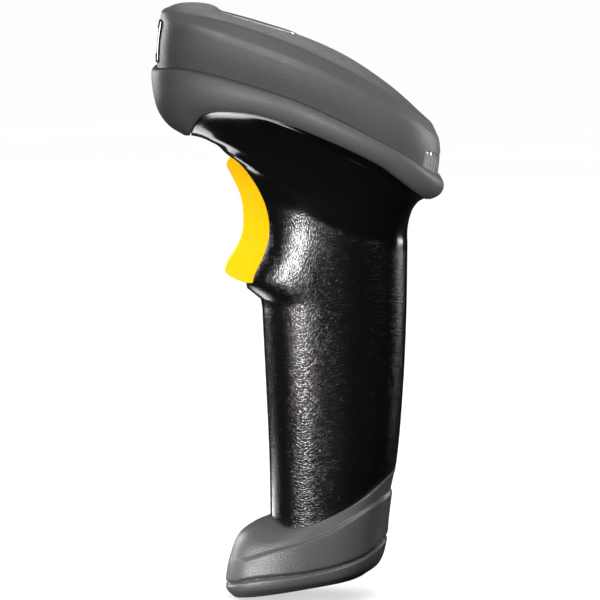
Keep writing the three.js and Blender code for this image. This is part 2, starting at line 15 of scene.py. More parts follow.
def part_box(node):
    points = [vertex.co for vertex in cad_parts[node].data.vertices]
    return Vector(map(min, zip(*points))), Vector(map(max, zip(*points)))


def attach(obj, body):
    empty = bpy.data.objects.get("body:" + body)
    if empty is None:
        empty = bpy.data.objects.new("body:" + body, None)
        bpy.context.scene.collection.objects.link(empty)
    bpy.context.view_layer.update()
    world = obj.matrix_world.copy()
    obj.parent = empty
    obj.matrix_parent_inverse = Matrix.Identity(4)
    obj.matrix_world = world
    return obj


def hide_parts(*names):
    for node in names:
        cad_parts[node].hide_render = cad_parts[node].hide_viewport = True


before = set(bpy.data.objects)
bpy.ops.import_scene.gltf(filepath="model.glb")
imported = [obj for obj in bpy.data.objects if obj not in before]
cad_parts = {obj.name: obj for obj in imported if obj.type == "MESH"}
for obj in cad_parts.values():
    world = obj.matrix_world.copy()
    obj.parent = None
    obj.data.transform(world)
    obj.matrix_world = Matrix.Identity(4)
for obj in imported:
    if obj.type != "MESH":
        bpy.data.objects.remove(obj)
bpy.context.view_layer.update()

bl_info = {
    "name": "Handheld Barcode Scanner",
    "version": (1, 0, 0),
    "blender": (4, 5, 0),
    "location": "View3D > Sidebar > Scanner",
    "description": "Builds a corded handheld barcode scanner piece by piece",
    "category": "Object",
}

MM = 0.001
PIVOT = Vector((0, -21.5, 121.6))
PIN_LOW, PIN_HIGH = (Vector(corner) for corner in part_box("trigger_pin"))
DATUM = (PIN_LOW + PIN_HIGH) / 2 - PIVOT * MM

GAP = 0.3
SEAM = 0.14
WALL = 2.2
NECK_Z = 98
GRIP_END_Z = 4.4
HEAD_MIDDLE = -15
COVER_FOOT = (-51.1, 29.8, 32.4)  # front, rear and half width of the cover's lower edge
BELLY_RIM = (-41.4, 25.6, 30.2)  # the same of the belly's rim
GRIP_POWER = 2.35
SEAM_TONGUE = 0.7
CUTTER_POINTS = 96
TRIGGER_POINTS = 150
SHELL_SCREWS = ((-12.6, 33), (-13.4, 74), (-33, 136), (15.5, 112))
WINDOW = {"half_width": 21, "bottom": 150.3, "top": 162.7, "frame": 2.4}
SOCKET = {"width": 12.6, "depth": 11, "top": 17, "cavity_width": 8.6, "cavity_depth": 7.4}
POST_RADIUS = 3.4
SCREW_WELL_RADIUS = 2.6
TRIGGER_SLOT = {"half_width": 8, "grow": 0.8}
TRIGGER_POCKET = ((-8, -24.4, 88.1), (8, -10.4, 121.1))


# ------------------------------------------------------------------ settings


def number_setting(name, description, default, low, high, **more):
    return FloatProperty(
        name=name, description=description, default=default, min=low, max=high, **more
    )


def colour_setting(name, description, default):
    return FloatVectorProperty(
        name=name, description=description, subtype="COLOR", size=3, min=0, max=1, default=default
    )


class ScannerShape(bpy.types.PropertyGroup):
    """Sizes of the mouldings, in millimetres."""

    points_round: IntProperty(
        name="Points Round",
        description="Points round each moulded section",
        default=160,
        min=32,
        max=320,
    )
    crease: number_setting("Crease Rounding", "Rounding of the top cover's edges", 0.7, 0.1, 2)
    groove: number_setting("Sole Groove", "Depth of the groove over the sole band", 0.9, 0, 1)
    foot_step: number_setting("Foot Step", "How far the lower foot stands proud", 0.6, 0, 1.5)
    trigger_rounding: number_setting(
        "Trigger Rounding", "Rounding of the trigger's long edges", 2.6, 0.5, 4
    )


class ScannerFinish(bpy.types.PropertyGroup):
    """Colours and grain."""

    cover: colour_setting("Cover", "Grey of the top cover", (0.098, 0.100, 0.102))
    bumper: colour_setting("Bumper", "Grey of the head bumper", (0.092, 0.094, 0.096))
    foot: colour_setting("Foot", "Grey of the rubber foot", (0.046, 0.047, 0.049))
    grip: colour_setting("Grip", "Black of the grip shells", (0.0014, 0.0014, 0.0016))
    trigger: colour_setting("Trigger", "Yellow of the trigger", (0.82, 0.43, 0.003))
    window: colour_setting("Window", "Tint of the scan window", (0.10, 0.004, 0.006))
    grain_size: number_setting(
        "Grain Size", "Width of one pebble of the grip's leather grain", 0.0007, 0.0002, 0.003,
        unit="LENGTH", precision=5,
    )  # fmt: skip
    grain_depth: number_setting(
        "Grain Depth", "Depth of the grip's leather grain", 0.000032, 0, 0.0005,
        unit="LENGTH", precision=5,
    )  # fmt: skip


class ScannerStage(bpy.types.PropertyGroup):
    """Camera and light."""

    elevation: number_setting(
        "Camera Elevation", "Height of the camera above the horizon",
        math.radians(5), 0, math.radians(90), subtype="ANGLE",
    )  # fmt: skip
    distance: number_setting(
        "Camera Distance", "Distance from the camera to the grip's axis", 1.4, 0.3, 20,
        unit="LENGTH",
    )  # fmt: skip
    field: number_setting(
        "Field Width", "Width of what the camera takes in at the grip's axis", 0.174, 0.05, 2,
        unit="LENGTH",
    )  # fmt: skip
    overhead: number_setting("Overhead Light", "Strength of the overhead light", 3.9, 0, 100)
    floor_tone: number_setting(
        "Floor Tone", "How light the floor is", 0.96, 0, 1, subtype="FACTOR"
    )


def shape():
    return bpy.context.scene.scanner_shape


def finish():
    return bpy.context.scene.scanner_finish


def stage():
    return bpy.context.scene.scanner_stage


# ------------------------------------------------------------------ smooth profiles


def curve_through(*pairs):
    """A smooth curve through a few (position, value) pairs, held flat past its ends."""
    last = len(pairs) - 1
    slopes = []
    for i in range(len(pairs)):
        before, after = pairs[max(i - 1, 0)], pairs[min(i + 1, last)]
        slopes.append((after[1] - before[1]) / (after[0] - before[0]))

    def value(position):
        at = min(max(position, pairs[0][0]), pairs[last][0])
        i = 0
        while i < last - 1 and at > pairs[i + 1][0]:
            i += 1
        (start, low), (end, high) = pairs[i], pairs[i + 1]
        step = end - start
        t = (at - start) / step
        a, b, rise = slopes[i] * step, slopes[i + 1] * step, high - low
        return low + a * t + (3 * rise - 2 * a - b) * t * t + (a + b - 2 * rise) * t**3

    return value


grip_front = curve_through(
    (0, -18.2), (33, -18.6), (60, -19.8), (78, -20.7), (81.5, -20.9), (84, -24.2),
    (86.5, -26), (89, -25.6), (94, -22.9), (NECK_Z, -21.4),
)  # fmt: skip
grip_rear = curve_through(
    (0, 9.4), (9, 11.8), (18, 13.6), (26, 15.4), (33, 17.4), (54, 19.3), (76, 20.3), (NECK_Z, 20.6)
)
grip_half_width = curve_through((0, 13.4), (14, 14), (33, 14.7), (76, 15.6), (NECK_Z, 16))
bumper_edge = curve_through(
    (-43, 134.6), (-37, 136.6), (-30, 137), (-21, 135.9), (-6, 130.3), (11.5, 121.7),
    (20, 115.2), (28, 108.4),
)  # fmt: skip
cover_edge = curve_through(
    (-51, 149), (-44, 149.4), (-30, 146.4), (-9, 139.4), (14.5, 127.6), (30, 117.6)
)
panel_edge = curve_through(
    (-50, 162.6), (-42, 161.8), (-27, 157.2), (-3, 147.9), (20, 135.6), (30, 127.8)
)
band_edge = curve_through(
    (-50, 165), (-42, 164.6), (-27, 161.4), (-6, 153.4), (14.5, 142.4), (28, 132.4)
)
crown_ridge = curve_through(
    (-50, 165.6), (-47.4, 167.2), (-42, 167.2), (-37, 166.6), (-34.6, 165.7), (-33.2, 164.6),
    (-31, 163.9), (-12, 158.3), (3, 152.2), (14.5, 145.5), (22, 140), (28, 134),
)  # fmt: skip
foot_edge = curve_through((-18.4, 18), (-14, 16), (-7, 17.4), (2, 21.4), (10, 26), (18, 32.6))


def sole(y):
    return 0.185 * y


def mix(low, high, share):
    return low + (high - low) * share


def steps(start, end, count):
    """Evenly spaced values from start to end, both included."""
    return [mix(start, end, i / (count - 1)) for i in range(count)]


def hump(distance, width):
    return math.exp(-((distance / width) ** 2))


def rise(value, width):
    """0 below zero and 1 above it, turning smoothly over a width."""
    return 1 / (1 + math.exp(-4 * value / width))


# ------------------------------------------------------------------ sections

FRONT_POWER = 4.8
REAR_POWER = 2.35


def unit_outline(turn, front_power=FRONT_POWER, rear_power=REAR_POWER):
    """How far forward (or back, below zero) and sideways a point of a rounded outline lies."""
    ahead, side = math.cos(turn), math.sin(turn)
    power = front_power if ahead > 0 else rear_power
    size = (abs(ahead) ** power + abs(side) ** power) ** (-1 / power)
    return ahead * size, side * size


def plan(turn, front, rear, half_width, middle, front_power=FRONT_POWER, rear_power=REAR_POWER):
    ahead, side = unit_outline(turn, front_power, rear_power)
    reach = middle - front if ahead > 0 else rear - middle
    return half_width * side, middle - reach * ahead


def head_plan(turn, front, rear, half_width):
    return plan(turn, front, rear, half_width, HEAD_MIDDLE)


def forwardness(turn):
    """1 at the very front of the head, 0 from its widest point back."""
    ahead, _ = unit_outline(turn)
    return max(ahead, 0) ** (FRONT_POWER / 2)


def level(front, rear, half_width, height):
    """A head section whose height follows a profile."""

    def section(turn):
        x, y = head_plan(turn, front, rear, half_width)
        return Vector((x, y, height(y)))

    return section


def moved(section, offset):
    return lambda turn: section(turn) + Vector(offset)


def between(a, b, share, bulge=0):
    """A section part of the way from a to b, pushed sideways out of the middle by a bulge."""

    def section(turn):
        point = a(turn).lerp(b(turn), share)
        out = Vector((point.x, point.y - HEAD_MIDDLE, 0)).normalized()
        return point + out * bulge

    return section


def corner(a, b, c, size):
    """Three sections that round the edge at b between the surfaces towards a and c."""

    def towards(other):
        return lambda turn: b(turn) + (other(turn) - b(turn)).normalized() * size

    before, after = towards(a), towards(c)
    return before, lambda turn: (before(turn) + b(turn) * 2 + after(turn)) / 4, after


# ------------------------------------------------------------------ modelling


def placed(point):
    return DATUM + Vector(point) * MM


class Loft:
    """A form drawn as rings, each pulled out of the one before."""

    def __init__(self, points_round=None):
        self.bm = bmesh.new()
        self.turn = self.bm.verts.layers.float.new("turn")
        circle = bmesh.ops.create_circle(
            self.bm, cap_ends=False, radius=1, segments=points_round or shape().points_round
        )
        self.ring = circle["verts"]
        for vert in self.ring:
            vert[self.turn] = math.atan2(vert.co.y, vert.co.x)
        self.edges = list(self.bm.edges)
        self.first = None

    def draw(self, *sections):
        for section in sections:
            if self.first is None:
                self.first = self.edges
            else:
                made = bmesh.ops.extrude_edge_only(self.bm, edges=self.edges)["geom"]
                ring = {item for item in made if isinstance(item, bmesh.types.BMVert)}
                self.edges = [
                    item
                    for item in made
                    if isinstance(item, bmesh.types.BMEdge) and ring.issuperset(item.verts)
                ]
                self.ring = list(ring)
            for vert in self.ring:
                vert.co = placed(section(vert[self.turn]))
        return self

    def close_point(self):
        middle = sum((vert.co for vert in self.ring), Vector()) / len(self.ring)
        bmesh.ops.pointmerge(self.bm, verts=self.ring, merge_co=middle)
        return self

    def cap_start(self):
        bmesh.ops.edgeloop_fill(self.bm, edges=self.first)
        return self

    def cap_ends(self):
        bmesh.ops.edgeloop_fill(self.bm, edges=self.edges)
        return self.cap_start()

    def join_ends(self):
        bmesh.ops.bridge_loops(self.bm, edges=self.first + self.edges)
        return self


def mesh_object(name, bm):
    bmesh.ops.recalc_face_normals(bm, faces=bm.faces)
    if bm.calc_volume(signed=True) < 0:
        bmesh.ops.reverse_faces(bm, faces=bm.faces)
    mesh = bpy.data.meshes.new(name)
    bm.to_mesh(mesh)
    bm.free()
    piece = bpy.data.objects.new(name, mesh)
    bpy.context.scene.collection.objects.link(piece)
    return piece


def apply_modifiers(piece):
    bpy.context.view_layer.update()
    graph = bpy.context.evaluated_depsgraph_get()
    mesh = bpy.data.meshes.new_from_object(piece.evaluated_get(graph))
    old = piece.data
    piece.modifiers.clear()
    piece.data = mesh
    bpy.data.meshes.remove(old)


def carve(piece, cutter, operation="DIFFERENCE"):
    """Cuts, joins or keeps what is shared with another piece, which is used up."""
    boolean = piece.modifiers.new("carve", "BOOLEAN")
    boolean.object = cutter
    boolean.operation = operation
    boolean.solver = "EXACT"
    apply_modifiers(piece)
    if not piece.data.polygons:
        raise RuntimeError(f"{piece.name}: nothing is left after a {operation.lower()}")
    bpy.data.objects.remove(cutter)


def copy_of(piece, name):
    twin = piece.copy()
    twin.data = piece.data.copy()
    twin.name = name
    bpy.context.scene.collection.objects.link(twin)
    return twin


def wall(piece, thickness):
    """Gives an open surface a wall, grown inwards."""
    solidify = piece.modifiers.new("wall", "SOLIDIFY")
    solidify.thickness = thickness * MM
    solidify.offset = -1
    solidify.use_even_offset = False
    apply_modifiers(piece)


def block(low, high, rounding=0, turn=None):
    """A box between two corners, with rounded edges; turn is an angle about X, taken round the
    box's middle.
    """
    bm = bmesh.new()
    size = Vector(high) - Vector(low)
    bmesh.ops.create_cube(bm, size=1, matrix=Matrix.Diagonal(size).to_4x4())
    if rounding:
        bmesh.ops.bevel(
            bm, geom=list(bm.edges), offset=rounding, affect="EDGES", segments=4, profile=0.5,
            material=-1,
        )  # fmt: skip
    centre = (Vector(high) + Vector(low)) / 2
    if turn is not None:
        bmesh.ops.rotate(bm, verts=bm.verts, cent=(0, 0, 0), matrix=Matrix.Rotation(turn, 3, "X"))
    for vert in bm.verts:
        vert.co = placed(vert.co + centre)
    return mesh_object("block", bm)


ALONG = {
    "x": Matrix.Rotation(math.pi / 2, 4, "Y"),
    "y": Matrix.Rotation(math.pi / 2, 4, "X"),
    "z": Matrix.Identity(4),
}


def add_bar(bm, axis, radius, length, centre, segments=48):
    """Adds a round bar along an axis, centred on a point."""
    bmesh.ops.create_cone(
        bm,
        cap_ends=True,
        cap_tris=False,
        segments=segments,
        radius1=radius * MM,
        radius2=radius * MM,
        depth=length * MM,
        matrix=Matrix.Translation(placed(centre)) @ ALONG[axis],
    )


def bars(axis, radius, length, centres):
    bm = bmesh.new()
    for centre in centres:
        add_bar(bm, axis, radius, length, centre)
    return mesh_object("bars", bm)


def settle(piece, material, slot, *nodes, body="housing", angle=32):
    """Finishes a piece: smooth shading, its finish, the body it rides on, what it stands for."""
    piece.data.shade_smooth()
    piece.data.set_sharp_from_angle(angle=math.radians(angle))
    piece.data.materials.clear()
    piece.data.materials.append(material)
    if "turn" in piece.data.attributes:
        piece.data.attributes.remove(piece.data.attributes["turn"])
    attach(piece, body)
    if nodes:
        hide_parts(*nodes)
    return piece


def soften(piece, width, segments=2):
    """Small rounded edges on a piece made of plain faces."""
    bevel = piece.modifiers.new("soft edges", "BEVEL")
    bevel.width = width * MM
    bevel.segments = segments
    bevel.limit_method = "ANGLE"
    bevel.angle_limit = math.radians(40)
    bevel.harden_normals = False
    apply_modifiers(piece)


# ------------------------------------------------------------------ shader nodes


class Graph:
    """Adds nodes to a tree; an input given as a socket is linked, any other value is set."""

    def __init__(self, tree):
        self.tree = tree
        self.count = 0

    def add(self, kind, inputs=None, **settings):
        node = self.tree.nodes.new(kind)
        node.location = (200 * (self.count // 4), -260 * (self.count % 4))
        self.count += 1
        for key, value in settings.items():
            setattr(node, key, value)
        for socket, value in (inputs or {}).items():
            if isinstance(value, bpy.types.NodeSocket):
                self.tree.links.new(value, node.inputs[socket])
            else:
                node.inputs[socket].default_value = value
        return node

    def maths(self, operation, *values):
        return self.add("ShaderNodeMath", dict(enumerate(values)), operation=operation).outputs[0]

    def noise(self, vector, scale, detail=2.0, roughness=0.5):
        inputs = {"Vector": vector, "Scale": scale, "Detail": detail, "Roughness": roughness}
        return self.add("ShaderNodeTexNoise", inputs).outputs["Fac"]

    def remap(self, value, low, high, to_low=0.0, to_high=1.0):
        inputs = {0: value, 1: low, 2: high, 3: to_low, 4: to_high}
        return self.add("ShaderNodeMapRange", inputs, clamp=True).outputs[0]

    def blend(self, fac, a, b):
        node = self.add("ShaderNodeMix", data_type="RGBA")
        for socket, value in ((node.inputs[0], fac), (node.inputs[6], a), (node.inputs[7], b)):
            if isinstance(value, bpy.types.NodeSocket):
                self.tree.links.new(value, socket)
            else:
                socket.default_value = value
        return node.outputs[2]


def new_group(name, inputs, outputs):
    """An empty shader group; inputs are (name, type, default) and outputs are (name, type)."""
    tree = bpy.data.node_groups.new(name, "ShaderNodeTree")
    for title, kind, default in inputs:
        socket = tree.interface.new_socket(title, in_out="INPUT", socket_type=kind)
        if default is not None:
            socket.default_value = default
    for title, kind in outputs:
        tree.interface.new_socket(title, in_out="OUTPUT", socket_type=kind)
    graph = Graph(tree)
    return tree, graph, graph.add("NodeGroupInput").outputs, graph.add("NodeGroupOutput")


def made_once(store):
    """For a function that makes a material or node group by name: the second call finds it."""

    def decorate(make):
        def find_or_make(name, *values, **settings):
            return getattr(bpy.data, store).get(name) or make(name, *values, **settings)

        return find_or_make

    return decorate


@made_once("node_groups")
def handling_wear(name):
    """Uneven tone, faint smudges and pale rubbed edges."""
    tree, graph, given, out = new_group(
        name,
        [
            ("Vector", "NodeSocketVector", None),
            ("Colour", "NodeSocketColor", (0.5, 0.5, 0.5, 1)),
            ("Roughness", "NodeSocketFloat", 0.5),
            ("Mottle", "NodeSocketFloat", 0.12),
            ("Edge Wear", "NodeSocketFloat", 0.3),
            ("Smudge", "NodeSocketFloat", 1.0),
        ],
        [("Colour", "NodeSocketColor"), ("Roughness", "NodeSocketFloat")],
    )
    broad = graph.noise(given["Vector"], 38.0, 3.0)
    fine = graph.noise(given["Vector"], 900.0, 2.0)
    tone = graph.maths("MULTIPLY", graph.maths("SUBTRACT", broad, 0.5), given["Mottle"])
    speck = graph.maths("MULTIPLY", graph.maths("SUBTRACT", fine, 0.5), given["Mottle"])
    scale = graph.maths("ADD", graph.maths("ADD", tone, speck), 1.0)
    toned = graph.add("ShaderNodeVectorMath", {0: given["Colour"]}, operation="SCALE")
    tree.links.new(scale, toned.inputs["Scale"])
    point = graph.add("ShaderNodeNewGeometry").outputs["Pointiness"]
    edge = graph.remap(point, 0.515, 0.58)
    patchy = graph.remap(graph.noise(given["Vector"], 260.0, 3.0), 0.42, 0.62)
    worn = graph.maths("MULTIPLY", graph.maths("MULTIPLY", edge, patchy), given["Edge Wear"])
    pale = graph.add("ShaderNodeVectorMath", {0: given["Colour"], "Scale": 1.7}, operation="SCALE")
    colour = graph.blend(worn, toned.outputs[0], pale.outputs[0])
    smudge = graph.remap(graph.noise(given["Vector"], 70.0, 4.0, 0.6), 0.35, 0.7, -0.05, 0.07)
    rough = graph.maths("ADD", given["Roughness"], graph.maths("MULTIPLY", smudge, given["Smudge"]))
    tree.links.new(colour, out.inputs["Colour"])
    tree.links.new(rough, out.inputs["Roughness"])
    return tree


@made_once("node_groups")
def leather_grain(name):
    """Pebbled grain as moulded into grips: rounded cells with narrow valleys between them."""
    tree, graph, given, out = new_group(
        name,
        [("Vector", "NodeSocketVector", None), ("Cells", "NodeSocketFloat", 1200.0)],
        [("Height", "NodeSocketFloat"), ("Valley", "NodeSocketFloat")],
    )
    drift = graph.add("ShaderNodeTexNoise", {"Vector": given["Vector"], "Scale": 700.0})
    bend = graph.add(
        "ShaderNodeVectorMath", {0: drift.outputs["Color"], "Scale": 0.0007}, operation="SCALE"
    )
    place = graph.add(
        "ShaderNodeVectorMath", {0: given["Vector"], 1: bend.outputs[0]}, operation="ADD"
    )
    cells = graph.add(
        "ShaderNodeTexVoronoi",
        {"Vector": place.outputs[0], "Scale": given["Cells"], "Randomness": 1.0},
        feature="DISTANCE_TO_EDGE",
    )
    valley = graph.remap(cells.outputs["Distance"], 0.0, 0.26)
    dome = graph.maths("POWER", valley, 0.6)
    fine = graph.noise(given["Vector"], 4200.0, 2.0)
    uneven = graph.noise(given["Vector"], 520.0, 2.0)
    height = graph.maths("ADD", graph.maths("MULTIPLY", fine, 0.16), dome)
    height = graph.maths("MULTIPLY", height, graph.remap(uneven, 0.3, 0.7, 0.65, 1.1))
    tree.links.new(height, out.inputs["Height"])
    tree.links.new(valley, out.inputs["Valley"])
    return tree


@made_once("node_groups")
def moulded_texture(name):
    """The fine matt texture of a spark-eroded mould."""
    tree, graph, given, out = new_group(
        name,
        [("Vector", "NodeSocketVector", None), ("Grains", "NodeSocketFloat", 2600.0)],
        [("Height", "NodeSocketFloat")],
    )
    coarse = graph.add(
        "ShaderNodeTexVoronoi", {"Vector": given["Vector"], "Scale": given["Grains"]}
    )
    fine = graph.noise(given["Vector"], 5200.0, 3.0)
    height = graph.maths("ADD", coarse.outputs["Distance"], graph.maths("MULTIPLY", fine, 0.5))
    tree.links.new(height, out.inputs["Height"])
    return tree


def new_material(name):
    """A new material with a Principled BSDF, its graph, its shader and object coordinates."""
    material = bpy.data.materials.new(name)
    material.use_nodes = True
    tree = material.node_tree
    tree.nodes.clear()
    graph = Graph(tree)
    shader = graph.add("ShaderNodeBsdfPrincipled")
    output = graph.add("ShaderNodeOutputMaterial")
    tree.links.new(shader.outputs[0], output.inputs["Surface"])
    place = graph.add("ShaderNodeTexCoord").outputs["Object"]
    return material, graph, shader, place


def set_shader(graph, shader, **values):
    for title, value in values.items():
        socket = shader.inputs[title.replace("_", " ")]
        if isinstance(value, bpy.types.NodeSocket):
            graph.tree.links.new(value, socket)
        else:
            socket.default_value = value


def group_node(graph, group, inputs):
    return graph.add("ShaderNodeGroup", inputs, node_tree=group)


def bumped(graph, shader, height, distance):
    bump = graph.add("ShaderNodeBump", {"Height": height, "Distance": distance, "Strength": 1.0})
    graph.tree.links.new(bump.outputs[0], shader.inputs["Normal"])


@made_once("materials")
def moulded_plastic(name, colour, roughness, grains=2600.0, depth=0.00003, mottle=0.14, wear=0.3):
    """Matt moulded plastic or rubber."""
    material, graph, shader, place = new_material(name)
    worn = group_node(
        graph,
        handling_wear("Handling Wear"),
        {
            "Vector": place,
            "Colour": (*colour, 1),
            "Roughness": roughness,
            "Mottle": mottle,
            "Edge Wear": wear,
        },
    )
    set_shader(graph, shader, Base_Color=worn.outputs[0], Roughness=worn.outputs[1])
    inputs = {"Vector": place, "Grains": grains}
    texture = group_node(graph, moulded_texture("Moulded Texture"), inputs)
    bumped(graph, shader, texture.outputs[0], depth)
    return material


@made_once("materials")
def grip_plastic(name):
    """Black plastic: leather-grained on the handle, smooth and glossy on the head's belly."""
    material, graph, shader, place = new_material(name)
    axes = graph.add("ShaderNodeSeparateXYZ", {0: place})
    # The grain ends on a sloping line under the head.
    line = graph.maths("ADD", axes.outputs["Z"], graph.maths("MULTIPLY", axes.outputs["Y"], 0.38))
    top = (DATUM.z + 0.1035) + DATUM.y * 0.38
    grained = graph.remap(line, top - 0.0012, top + 0.0012, 1.0, 0.0)
    grain = group_node(
        graph, leather_grain("Leather Grain"), {"Vector": place, "Cells": 1 / finish().grain_size}
    )
    worn = group_node(
        graph,
        handling_wear("Handling Wear"),
        {
            "Vector": place,
            "Colour": (*finish().grip, 1),
            "Roughness": 0.2,
            "Mottle": 0.3,
            "Edge Wear": 0.0,
            "Smudge": 0.2,
        },
    )
    smooth_rough = graph.remap(graph.noise(place, 90.0, 3.0), 0.3, 0.7, 0.1, 0.17)
    rough = graph.add("ShaderNodeMix", {0: grained}, data_type="FLOAT")
    graph.tree.links.new(smooth_rough, rough.inputs[2])
    graph.tree.links.new(worn.outputs[1], rough.inputs[3])
    set_shader(
        graph,
        shader,
        Base_Color=worn.outputs[0],
        Roughness=rough.outputs[0],
        Specular_IOR_Level=0.5,
    )
    height = graph.maths("MULTIPLY", grain.outputs["Height"], grained)
    bumped(graph, shader, height, finish().grain_depth)
    return material


@made_once("materials")
def trigger_plastic(name):
    """Glossy yellow plastic with faint finger marks."""
    material, graph, shader, place = new_material(name)
    worn = group_node(
        graph,
        handling_wear("Handling Wear"),
        {
            "Vector": place,
            "Colour": (*finish().trigger, 1),
            "Roughness": 0.24,
            "Mottle": 0.08,
            "Edge Wear": 0.0,
        },
    )
    set_shader(
        graph,
        shader,
        Base_Color=worn.outputs[0],
        Roughness=worn.outputs[1],
        Coat_Weight=0.35,
        Coat_Roughness=0.08,
        Subsurface_Weight=0.08,
        Subsurface_Radius=(0.0012, 0.0007, 0.0002),
    )
    bumped(graph, shader, graph.noise(place, 420.0, 2.0), 0.00002)
    return material


@made_once("materials")
def clear_plastic(name, tint, roughness, transmission):
    """Glossy transparent plastic."""
    material, graph, shader, place = new_material(name)
    haze = graph.remap(graph.noise(place, 210.0, 4.0), 0.35, 0.75, roughness, roughness + 0.06)
    dust = graph.remap(graph.noise(place, 1400.0, 2.0), 0.66, 0.74)
    pale = tuple(min(1, c * 1.5 + 0.02) for c in tint)
    colour = graph.blend(graph.maths("MULTIPLY", dust, 0.25), (*tint, 1), (*pale, 1))
    set_shader(
        graph,
        shader,
        Base_Color=colour,
        Roughness=haze,
        Transmission_Weight=transmission,
        IOR=1.49,
        Coat_Weight=0.5,
        Coat_Roughness=0.03,
    )
    bumped(graph, shader, graph.noise(place, 120.0, 1.0), 0.00004)
    return material


@made_once("materials")
def metal(name, colour, roughness, brushed=0.0):
    """Metal with fine machining lines or a cast skin."""
    material, graph, shader, place = new_material(name)
    scale = (1, 1, 14 if brushed else 1)
    stretch = graph.add("ShaderNodeMapping", {"Vector": place, "Scale": scale})
    lines = graph.noise(stretch.outputs[0], 1800.0 if brushed else 900.0, 3.0)
    tarnish = graph.remap(graph.noise(place, 240.0, 3.0), 0.35, 0.7, 0.0, 0.35)
    dull = tuple(c * 0.55 for c in colour)
    set_shader(
        graph,
        shader,
        Base_Color=graph.blend(tarnish, (*colour, 1), (*dull, 1)),
        Metallic=1.0,
        Roughness=graph.remap(lines, 0.3, 0.7, roughness, roughness + 0.16),
    )
    bumped(graph, shader, lines, 0.00001 if brushed else 0.00003)
    return material


@made_once("materials")
def circuit_board(name):
    """Green solder mask with tracks, pads and fine dust."""
    material, graph, shader, place = new_material(name)
    tracks = graph.add(
        "ShaderNodeTexBrick",
        {
            "Vector": place,
            "Scale": 420.0,
            "Mortar Size": 0.05,
            "Brick Width": 1.6,
            "Row Height": 0.42,
            "Color1": (0, 0, 0, 1),
            "Color2": (0, 0, 0, 1),
            "Mortar": (1, 1, 1, 1),
        },
    )
    pads = graph.add("ShaderNodeTexVoronoi", {"Vector": place, "Scale": 330.0, "Randomness": 0.35})
    pad = graph.remap(pads.outputs["Distance"], 0.16, 0.2, 1.0, 0.0)
    green = graph.blend(tracks.outputs["Color"], (0.012, 0.075, 0.028, 1), (0.03, 0.14, 0.05, 1))
    colour = graph.blend(pad, green, (0.62, 0.55, 0.36, 1))
    rough = graph.remap(graph.noise(place, 600.0, 2.0), 0.3, 0.7, 0.28, 0.42)
    metallic = graph.maths("MULTIPLY", pad, 0.8)
    set_shader(graph, shader, Base_Color=colour, Roughness=rough, Metallic=metallic)
    bumped(graph, shader, tracks.outputs["Fac"], 0.00003)
    return material


@made_once("materials")
def winding(name):
    """Enamelled copper wire laid in close turns."""
    material, graph, shader, place = new_material(name)
    turns = graph.add(
        "ShaderNodeTexWave",
        {"Vector": place, "Scale": 900.0, "Distortion": 0.6},
        wave_type="RINGS",
        rings_direction="Z",
    ).outputs["Fac"]
    colour = graph.blend(turns, (0.16, 0.045, 0.015, 1), (0.62, 0.22, 0.09, 1))
    rough = graph.remap(turns, 0, 1, 0.45, 0.25)
    set_shader(graph, shader, Base_Color=colour, Roughness=rough, Metallic=0.9)
    bumped(graph, shader, turns, 0.00005)
    return material


# ------------------------------------------------------------------ stage


def aim(thing, position, target):
    thing.location = position
    thing.rotation_mode = "QUATERNION"
    direction = Vector(target) - Vector(position)
    thing.rotation_quaternion = direction.to_track_quat("-Z", "Y")


# Name, place in metres from the middle of the grip, point it faces in millimetres, width and
# height in metres, power, and the group of pieces that it lights (None: everything).
MIDDLE = (0, 0, 90)
LAMPS = (
    ("front_strip", (0.66, -0.47, 0.19), MIDDLE, 0.16, 0.56, 22, "grip"),
    ("foot_strip", (0.43, -0.68, -0.05), (0, 0, 20), 0.7, 0.09, 15, "foot and the rest"),
    ("rear_fill", (0.42, 0.62, 0.34), MIDDLE, 0.3, 0.3, 1.4, None),
    ("camera_fill", (0.71, 0.06, 0.7), MIDDLE, 0.4, 0.4, 8.5, "cover and the rest"),
    ("window_fill", (-0.1, -0.8, 0.7), MIDDLE, 0.5, 0.5, 0.9, None),
    ("far_fill", (-0.8, 0.1, 0.6), MIDDLE, 0.5, 0.5, 1.4, None),
    ("far_rear_fill", (-0.45, 0.75, 0.12), MIDDLE, 0.4, 0.3, 3, None),
    ("far_front_fill", (-0.6, -0.6, 0.12), MIDDLE, 0.4, 0.3, 4, None),
    ("bumper_fill", (0.8, 0.08, 0.0), MIDDLE, 0.3, 0.16, 6, "bumper"),
    ("belly_glow", (-0.1, -0.075, -0.086), (-100, -75, 1004), 0.1, 0.1, 0.14, "grip"),
)
FLOOR_DROP = 0.0002
ROOM_TONE = 0.016
UNSEEN_FLOOR_TONE = 0.012


def softbox(name, offset, faces, width, height, power, lights):
    light = bpy.data.lights.new(name, "AREA")
    light.shape = "RECTANGLE"
    light.size = width
    light.size_y = height
    light.energy = power
    lamp = bpy.data.objects.new(name, light)
    bpy.context.scene.collection.objects.link(lamp)
    aim(lamp, placed(MIDDLE) + Vector(offset), placed(faces))
    if lights:
        lamp.light_linking.receiver_collection = lit_group(lights)
    return lamp


def lit_group(name):
    """The collection that says which pieces a lamp lights."""
    return bpy.data.collections.get(name) or bpy.data.collections.new(name)


def light_by(piece, *groups, without=()):
    """Puts a piece in lamps' groups, and shuts it out of others."""
    for name in (*groups, *without):
        group = lit_group(name)
        group.objects.link(piece)
        if name in without:
            group.collection_objects[-1].light_linking.link_state = "EXCLUDE"


def by_camera_ray(graph, otherwise, seen):
    """Joins two shaders: one for the camera's own view, one for every other ray."""
    ray = graph.add("ShaderNodeLightPath").outputs["Is Camera Ray"]
    return graph.add("ShaderNodeMixShader", {0: ray, 1: otherwise, 2: seen}).outputs[0]


